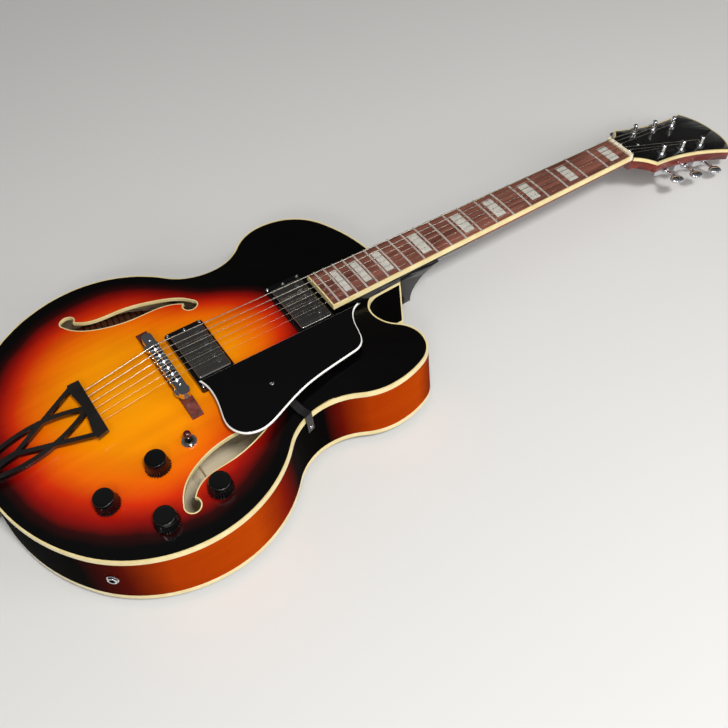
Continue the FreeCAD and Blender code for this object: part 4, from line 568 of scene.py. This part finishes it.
def outerTop(face):
    return face.normal.z > 0.7 and face.center.z > (arch["topEdge"] - arch["lip"]) * mm


def outerBack(face):
    return face.normal.z < -0.7 and face.center.z < (arch["backEdge"] + arch["slack"]) * mm


def wall(face):
    low, high = arch["backEdge"] + arch["binding"], arch["topEdge"] - arch["binding"]
    return abs(face.normal.z) < 0.3 and low * mm < face.center.z < high * mm


# the rim's strips shade as one wall: each corner takes the mean of the facets that meet on its upright line
def roundWall(piece, near=0.1):
    mesh = piece.data
    walls = [face for face in mesh.polygons if wall(face)]
    corners = [(mesh.vertices[index].co, face.normal) for face in walls for index in face.vertices]
    tree = KDTree(len(corners))
    for index, (spot, normal) in enumerate(corners):
        tree.insert((spot.x, spot.y, 0), index)
    tree.balance()
    normals = [(0, 0, 0)] * len(mesh.loops)
    for face in walls:
        for loop in face.loop_indices:
            spot = mesh.vertices[mesh.loops[loop].vertex_index].co
            facets = {rounded(corners[index][1], 3)
                      for found, index, away in tree.find_range((spot.x, spot.y, 0), near * mm)}
            mean = sum((Vector(facet) for facet in facets if Vector(facet).dot(face.normal) > 0.9), Vector())
            normals[loop] = tuple(mean.normalized())
    mesh.normals_split_custom_set(normals)


topGuide, backGuide = archGuides()
for guide in (topGuide, backGuide):
    smoothed(guide, 80)
guides = {"top_plate": (topGuide, outerTop), "back_plate": (backGuide, outerBack)}


def guardPlastic():
    material, tree, shader, coords, touch = startMaterial("guardPlastic", {
        "shader": {"Specular IOR Level": 0.3}, "roughness": 0.13, "smear": 0.05})
    up = boardPlane.to_3x3() @ Vector((0, 0, 1))
    level = maths(tree, "ABSOLUTE", vectorMaths(tree, "DOT_PRODUCT", coords["Normal"], tuple(up)))
    tree.links.new(mixed(tree, stepped(tree, level, 0.9, 0.97), rgb(236, 234, 228), rgb(8, 8, 9)),
                   shader.inputs["Base Color"])
    finishBump(tree, shader, touch["Height"], 0.015, 0.001)
    return material


materials["guard"] = guardPlastic()
guard = {"top": -5.4, "wall": -6.75, "bevel": 1.25, "fall": 1.2, "screw": (84, -548.55), "screwSeat": -5.35,
         "clear": 6}


def makeGuard():
    piece = startCopy("pickguard", True)
    flat = boardPlane.inverted()

    def onTop(point):
        return (flat @ point).z > (guard["top"] - 0.1) * mm

    def edgePoint(point):
        away = (flat @ point).xy - Vector(guard["screw"]) * mm
        return onTop(point) and away.length > guard["clear"] * mm

    for spot in piece.data.vertices:
        place = flat @ spot.co
        if guard["wall"] * mm < place.z and not onTop(spot.co):
            spot.co = boardPlane @ Vector((place.x, place.y, guard["wall"] * mm))
    outer = {rounded(spot.co, 7) for spot in piece.data.vertices if edgePoint(spot.co)}
    editMode(piece, lambda face: all(onTop(piece.data.vertices[index].co) for index in face.vertices), "FACE")
    bpy.ops.mesh.inset(thickness=guard["bevel"] * mm, use_boundary=True, use_even_offset=True)
    done()
    fall = boardPlane.to_3x3() @ Vector((0, 0, -guard["fall"] * mm))
    for spot in piece.data.vertices:
        if rounded(spot.co, 7) in outer:
            spot.co += fall
    smoothed(piece, 20)
    settle(piece, "pickguard", bodyOf["pickguard"], "guard", ("pickguard",))


makeGuard()
for node, (material, width) in eased.items():
    easedCopy(node, material, width)
drop(topGuide, backGuide)
for node, material in plainNodes.items():
    frame["nodes"][node].data.materials.clear()
    frame["nodes"][node].data.materials.append(materials[material])
print("solids dressed:", len(eased) + len(plainNodes) + 1)

# the switch lever's tip is a plastic cap
lever = {"pivot": Vector(joints["switch_tilt"]["pos_m"]), "capFrom": 15.9}


def capLever():
    piece = bpy.data.objects["switchLever"]
    piece.data.materials.append(materials["tip"])
    for face in piece.data.polygons:
        if (face.center - lever["pivot"]).length > lever["capFrom"] * mm:
            face.material_index = 1


capLever()

# strings: from the tail bar over the saddles and the nut to the posts
strings = {"bridgeY": -630, "bridgeRise": 5, "nutY": 5, "nutRise": 2.7, "nutSpan": 35.5, "bridgeSpan": 52,
           "tailSpan": 48, "tailSeat": (128.16, 2), "thin": 0.15, "thick": 0.6, "turns": 2, "steps": 24,
           "gap": 0.6, "lift": 7, "postX": 26, "postFirst": 47.5, "postPitch": 36.8, "postRadius": 3.1,
           "ride": 14}


def spread(number, span):
    return span / 2 - span * (number - 1) / 5


def onPlane(plane, x, y, z):
    return plane @ Vector((x * mm, y * mm, z * mm))


def wire(name, points, radius):
    curve = bpy.data.curves.new(name, "CURVE")
    curve.dimensions = "3D"
    curve.bevel_depth = radius * mm
    curve.bevel_resolution = 2
    curve.use_fill_caps = True
    spline = curve.splines.new("POLY")
    spline.points.add(len(points) - 1)
    for spot, point in zip(spline.points, points):
        spot.co = (*point, 1.0)
    made = bpy.data.objects.new(name, curve)
    bpy.context.scene.collection.objects.link(made)
    pick(made)
    bpy.ops.object.convert(target="MESH")
    made = bpy.context.object
    made.data.materials.clear()
    made.data.materials.append(materials["string"])
    bpy.ops.object.shade_smooth_by_angle(angle=math.radians(50))
    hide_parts("strings")
    return made


def postPlace(number):  # the thin strings, 1 to 3, go to the treble side
    side = 1 if number <= 3 else -1
    rank = number - 1 if number <= 3 else 6 - number
    return side, strings["postFirst"] + rank * strings["postPitch"]


def layString(number):
    radius = strings["thin"] + (strings["thick"] - strings["thin"]) * ((number - 1) / 5) ** 1.4
    side, postY = postPlace(number)
    postX = side * strings["postX"]
    anchor = onPlane(tailPlane, spread(number, strings["tailSpan"]), *strings["tailSeat"])
    bridgeX = spread(number, strings["bridgeSpan"])
    saddle = onPlane(boardPlane, bridgeX, strings["bridgeY"], strings["bridgeRise"])
    nut = onPlane(boardPlane, spread(number, strings["nutSpan"]), strings["nutY"], strings["nutRise"])
    around = strings["postRadius"] + radius
    flat = headPlane.inverted() @ nut / mm
    reach = Vector((postX - flat.x, postY - flat.y))
    heading = math.atan2(reach.y, reach.x) + side * math.asin(around / reach.length)
    first = heading + side * math.pi / 2
    winding = []
    for step in range(strings["steps"] * strings["turns"] + 1):
        angle = first - side * 2 * math.pi * step / strings["steps"]
        level = strings["lift"] - (2 * radius + strings["gap"]) * step / strings["steps"]
        x, y = postX + around * math.cos(angle), postY + around * math.sin(angle)
        winding.append(onPlane(headPlane, x, y, level))
    middle = (anchor + saddle) / 2
    fore = saddle + (nut - saddle).normalized() * strings["ride"] * mm
    aft = saddle + (middle - saddle).normalized() * strings["ride"] * mm
    for name, points, ends, start, end in (
            ("Main", [fore, nut] + winding, ("guitar", "bridge"), nut, fore),
            ("Fore", [fore, saddle], ("bridge", "saddle_%d" % number), fore, saddle),
            ("Aft", [aft, saddle], ("bridge", "saddle_%d" % number), aft, saddle),
            ("Back", [middle, aft], ("guitar", "bridge"), middle, aft),
            ("Tail", [middle, anchor], ("guitar", "tailpiece_frame"), middle, anchor)):
        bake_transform(wire("string%d%s" % (number, name), points, radius))


for number in range(1, 7):
    layString(number)
print("strings laid")

# knobs: ribbed skirt, smooth crown with a shallow dish, and the shaft below
knob = {"radius": 13.9, "waist": 12.5, "flare": 2, "skirt": 12, "slope": 2.2, "ribs": 30, "ribDepth": 0.085,
        "ribShare": 0.45, "crown": 11.7, "crownTop": 10.6, "lap": 0.05, "height": 16, "lift": 3,
        "border": 1.6, "dish": 0.5, "dishSlope": 2, "shaft": 3, "shaftLong": 14, "shaftFrom": -6}


def makeKnob():
    skirt = drum(knob["waist"], knob["skirt"] - knob["flare"], knob["lift"] + knob["flare"], knob["ribs"] * 4,
                 knob["radius"] - knob["slope"])
    editMode(skirt, lambda face: face.normal.z < -0.9, "FACE")
    bpy.ops.mesh.extrude_region_move(TRANSFORM_OT_translate={"value": (0, 0, -knob["flare"] * mm)})
    widen = knob["radius"] / knob["waist"]
    bpy.ops.transform.resize(value=(widen, widen, 1), center_override=(0, 0, 0))
    done()
    pitch = 2 * math.pi / knob["ribs"]
    groove = pitch * knob["ribShare"]
    editMode(skirt, lambda spot: math.atan2(spot.co.y, spot.co.x) % pitch < groove and spot.co.xy.length > mm)
    shrink = 1 - knob["ribDepth"]
    bpy.ops.transform.resize(value=(shrink, shrink, 1), center_override=(0, 0, 0))
    done()
    roundEdges(skirt, 0.25, 2, 30)
    seat = knob["lift"] + knob["skirt"] - knob["lap"]
    crown = drum(knob["crown"], knob["height"] - knob["skirt"], seat, 96, knob["crownTop"])
    editMode(crown, lambda face: face.normal.z > 0.9, "FACE")
    bpy.ops.mesh.inset(thickness=knob["border"] * mm)
    bpy.ops.mesh.inset(thickness=knob["dishSlope"] * mm)
    bpy.ops.transform.translate(value=(0, 0, -knob["dish"] * mm))
    done()
    roundEdges(crown, 0.7, 3, 40)
    shaft = drum(knob["shaft"], knob["shaftLong"], knob["shaftFrom"])
    roundEdges(shaft, 0.3)
    whole = merged([skirt, crown, shaft])
    smoothed(whole)
    return whole


pattern = makeKnob()
for name in ("neck_volume_knob", "neck_tone_knob", "bridge_volume_knob", "bridge_tone_knob"):
    joint = joints[name + "_turn"]
    piece = placed(pattern, upAlong(joint["pos_m"], joint["axis"]))
    settle(piece, camel(name), bodyOf[name], "knob", (name,))
drop(pattern)

# tuner buttons: kidney-shaped grip, collar, end screw and the worm's shaft, measured from the post's axis
button = {"length": 15, "span": 21, "thick": 8, "from": 49, "notch": 1.8, "notchHalf": 7, "collar": 3.4,
          "collarLong": 3, "collarLap": 1.2, "taper": 0.8, "shaft": 2.1, "shaftFrom": 19.9, "shaftTo": 50,
          "screw": 1.7, "screwLong": 1.5, "screwLap": 0.6, "slot": 0.5, "slotFloor": 0.4, "ahead": 8.3,
          "below": -20.05}


def makeButton():
    bpy.ops.object.select_all(action="DESELECT")
    bpy.ops.mesh.primitive_uv_sphere_add(segments=40, ring_count=20, radius=0.5)
    grip = bpy.context.object
    middle = button["from"] + button["length"] / 2
    grip.data.transform(Matrix.Translation((0, 0, middle * mm)) @ Matrix.Diagonal(
        (button["thick"] * mm, button["span"] * mm, button["length"] * mm, 1)))
    for spot in grip.data.vertices:
        away = abs(spot.co.y) / mm / button["notchHalf"]
        if away < 1 and spot.co.z > middle * mm:
            share = (spot.co.z / mm - middle) / (button["length"] / 2)
            spot.co.z -= button["notch"] * mm * share * (1 + math.cos(math.pi * away)) / 2
    tip = button["from"] + button["length"] - button["notch"]
    narrow = button["screw"] * button["taper"]
    head = drum(button["screw"], button["screwLong"], tip - button["screwLap"], 24, narrow)
    roundEdges(head, 0.2)
    carve(head, slab(button["screw"] * 3, button["slot"], button["screwLong"] * 2, tip + button["slotFloor"]))
    narrow = button["collar"] * button["taper"]
    collar = drum(button["collar"], button["collarLong"], button["from"] - button["collarLap"], 32, narrow)
    roundEdges(collar, 0.4)
    shaft = drum(button["shaft"], button["shaftTo"] - button["shaftFrom"], button["shaftFrom"], 28)
    roundEdges(shaft, 0.2)
    whole = merged([grip, head, collar, shaft])
    smoothed(whole)
    return whole


pattern = makeButton()
for number in range(1, 7):
    side, reach = postPlace(number)
    seat = Matrix.Translation((0, (reach + button["ahead"]) * mm, button["below"] * mm))
    piece = placed(pattern, headPlane @ seat @ Matrix.Rotation(side * math.pi / 2, 4, "Y"))
    node = "tuner_button_%d" % number
    settle(piece, camel(node), node, "chrome", (node,))
drop(pattern)

# thumbwheels with a knurled edge
wheel = {"radius": 8.5, "thick": 3, "bore": 2.05, "teeth": 44, "depth": 0.04}


def makeWheel():
    disc = drum(wheel["radius"], wheel["thick"], 0, wheel["teeth"] * 2)
    pitch = 2 * math.pi / wheel["teeth"]
    editMode(disc, lambda spot: (math.atan2(spot.co.y, spot.co.x) + pitch / 4) % pitch < pitch / 2)
    bpy.ops.transform.resize(value=(1 - wheel["depth"], 1 - wheel["depth"], 1), center_override=(0, 0, 0))
    done()
    carve(disc, drum(wheel["bore"], wheel["thick"] + 2, -1, 24))
    roundEdges(disc, 0.2, 2, 50)
    smoothed(disc)
    return disc


pattern = makeWheel()
for side in ("bass", "treble"):
    joint = joints[side + "_wheel_turn"]
    piece = placed(pattern, Matrix.Translation(joint["pos_m"]))
    settle(piece, side + "Thumbwheel", side + "_wheel", "chrome", (side + "_thumbwheel",))
drop(pattern)
print("knobs and wheels made")

# screws with a cross recess, and pole screws with a slot
screw = {"head": 2.2, "crown": 1.5, "rise": 1.2, "shank": 1.1, "sink": 9, "slot": 0.5, "slotLength": 2.4,
         "slotDepth": 0.7}
pickupRows = {"neck": -464.19, "bridge": -589}
ringScrews = {"x": 42.8, "y": 19.3, "z": -9.35, "heightX": 41}
coverScrews = {"places": ((-8.6, 6.4), (8.6, 6.4), (0, 29.6)), "seat": 2.1}
tailScrews = {"x": 10, "face": -507.255, "levels": (72.2, 46.9)}
strapScrew = {"point": (0.1296165, -0.1923374, 0.0706), "out": (0.950157, 0.311773, 0)}
poles = {"span": 50, "row": 9.12, "top": -3.8, "radius": 2.35, "taper": 0.15, "rise": 0.45, "slot": 0.7}


def makeScrew():
    head = drum(screw["head"], screw["rise"], 0, 28, screw["crown"])
    roundEdges(head, 0.3, 2, 30)
    base = screw["rise"] - screw["slotDepth"]
    for length, width in ((screw["slotLength"], screw["slot"]), (screw["slot"], screw["slotLength"])):
        carve(head, slab(length, width, 2 * screw["rise"], base))
    shank = drum(screw["shank"], screw["sink"], -screw["sink"], 16)
    roundEdges(shank, 0.2)
    whole = merged([head, shank])
    smoothed(whole)
    return whole


def screwPlaces():
    places = []
    for y in pickupRows.values():
        for side in (-1, 1):
            for end in (-1, 1):
                spot = (side * ringScrews["x"], y + end * ringScrews["y"], ringScrews["z"])
                places.append(boardPlane @ Matrix.Translation(Vector(spot) * mm))
            spot = (side * ringScrews["heightX"], y, ringScrews["z"])
            places.append(boardPlane @ Matrix.Translation(Vector(spot) * mm))
    places.append(boardPlane @ Matrix.Translation(Vector((*guard["screw"], guard["screwSeat"])) * mm))
    for x, y in coverScrews["places"]:
        places.append(headPlane @ Matrix.Translation(Vector((x, y, coverScrews["seat"])) * mm))
    for z in tailScrews["levels"]:
        for x in (-tailScrews["x"], tailScrews["x"]):
            places.append(upAlong(Vector((x, tailScrews["face"], z)) * mm, (0, -1, 0)))
    places.append(upAlong(strapScrew["point"], strapScrew["out"]))
    return places


pattern = makeScrew()
whole = merged([placed(pattern, place) for place in screwPlaces()])
settle(whole, "trimScrews", "guitar", "chrome", ("trim_screws",))
drop(pattern)


def makePole():
    head = drum(poles["radius"], poles["rise"], 0, 32, poles["radius"] - poles["taper"])
    roundEdges(head, 0.12, 2, 40)
    carve(head, slab(poles["radius"] * 3, poles["slot"], poles["rise"] * 4, poles["rise"] / 3))
    smoothed(head)
    return head


pattern = makePole()
for pickup, y in pickupRows.items():
    heads = []
    for number in range(1, 7):
        spot = (spread(number, poles["span"]), y + poles["row"], poles["top"])
        heads.append(placed(pattern, boardPlane @ Matrix.Translation(Vector(spot) * mm)))
    settle(merged(heads), pickup + "PoleScrews", pickup + "_pickup", "chrome")
drop(pattern)
print("screws made")

# floor, light and camera
stage = {"floor": rgb(226, 225, 222), "cloud": rgb(220, 219, 216), "reach": 6, "below": 0.2, "dim": 0.04,
         "bright": 0.3, "toward": (0.745, -0.497, 0.447)}


def makeFloor():
    bpy.ops.object.select_all(action="DESELECT")
    bpy.ops.mesh.primitive_plane_add(size=stage["reach"] * 2, location=(0, 0, -stage["below"] * mm))
    floor = bpy.context.object
    floor.name = "studioFloor"
    material = bpy.data.materials.new("paleFloor")
    material.use_nodes = True
    tree = material.node_tree
    shader = tree.nodes["Principled BSDF"]
    coords = addNode(tree, "TexCoord").outputs
    cloud = noise(tree, coords["Object"], 1.4, 3.0)
    tree.links.new(mixed(tree, cloud, stage["floor"], stage["cloud"]), shader.inputs["Base Color"])
    shader.inputs["Roughness"].default_value = 0.7
    floor.data.materials.append(material)


def addLamp(name, place, aim, size, power):
    lamp = bpy.data.lights.new(name, "AREA")
    lamp.shape = "RECTANGLE"
    lamp.size, lamp.size_y = size
    lamp.energy = power
    holder = bpy.data.objects.new(name, lamp)
    holder.location = place
    holder.rotation_euler = (Vector(place) - Vector(aim)).to_track_quat("Z", "Y").to_euler()
    bpy.context.scene.collection.objects.link(holder)


view = {"place": (0.73818, -0.43616, 0.94762), "right": (0.542508, 0.836109, -0.081283),
        "up": (-0.615182, 0.461312, 0.63933), "back": (0.572046, -0.296838, 0.764625),
        "lens": 51.73, "sensor": 36, "shiftY": -0.011}


def makeCamera():
    lens = bpy.data.cameras.new("photoView")
    lens.lens, lens.sensor_width, lens.shift_y = view["lens"], view["sensor"], view["shiftY"]
    lens.clip_start, lens.clip_end = 0.05, 50
    holder = bpy.data.objects.new("photoView", lens)
    axes = Matrix((view["right"], view["up"], view["back"])).transposed().to_4x4()
    holder.matrix_world = Matrix.Translation(view["place"]) @ axes
    bpy.context.scene.collection.objects.link(holder)
    bpy.context.scene.camera = holder


makeFloor()
addLamp("keyPanel", (1.46, -0.22, 2.2), (0, -0.2, 0.05), (0.32, 0.32), 39)
addLamp("fillPanel", (1.5, -0.6, 1.9), (0, 0, 0.05), (1.4, 1.0), 11)
addLamp("lowPanel", (1.5, 0.9, 0.8), (0.1, -0.1, 0.06), (0.9, 0.5), 9)
addLamp("glintPanel", (1.5, -1.02, 1.5), (0, -0.25, 0.1), (0.25, 0.25), 5)


def makeWorld():
    world = bpy.data.worlds.new("studio")
    world.use_nodes = True
    tree = world.node_tree
    around = addNode(tree, "TexCoord").outputs["Generated"]
    side = vectorMaths(tree, "DOT_PRODUCT", around, stage["toward"])
    gain = stage["bright"] - stage["dim"]
    glow = maths(tree, "MULTIPLY_ADD", stepped(tree, side, -0.6, 0.9), gain, stage["dim"])
    backdrop = tree.nodes["Background"].inputs
    backdrop["Color"].default_value = (1, 1, 1, 1)
    tree.links.new(glow, backdrop["Strength"])
    bpy.context.scene.world = world


makeWorld()
bpy.context.scene.view_settings.view_transform = "Standard"
makeCamera()
print("stage set")
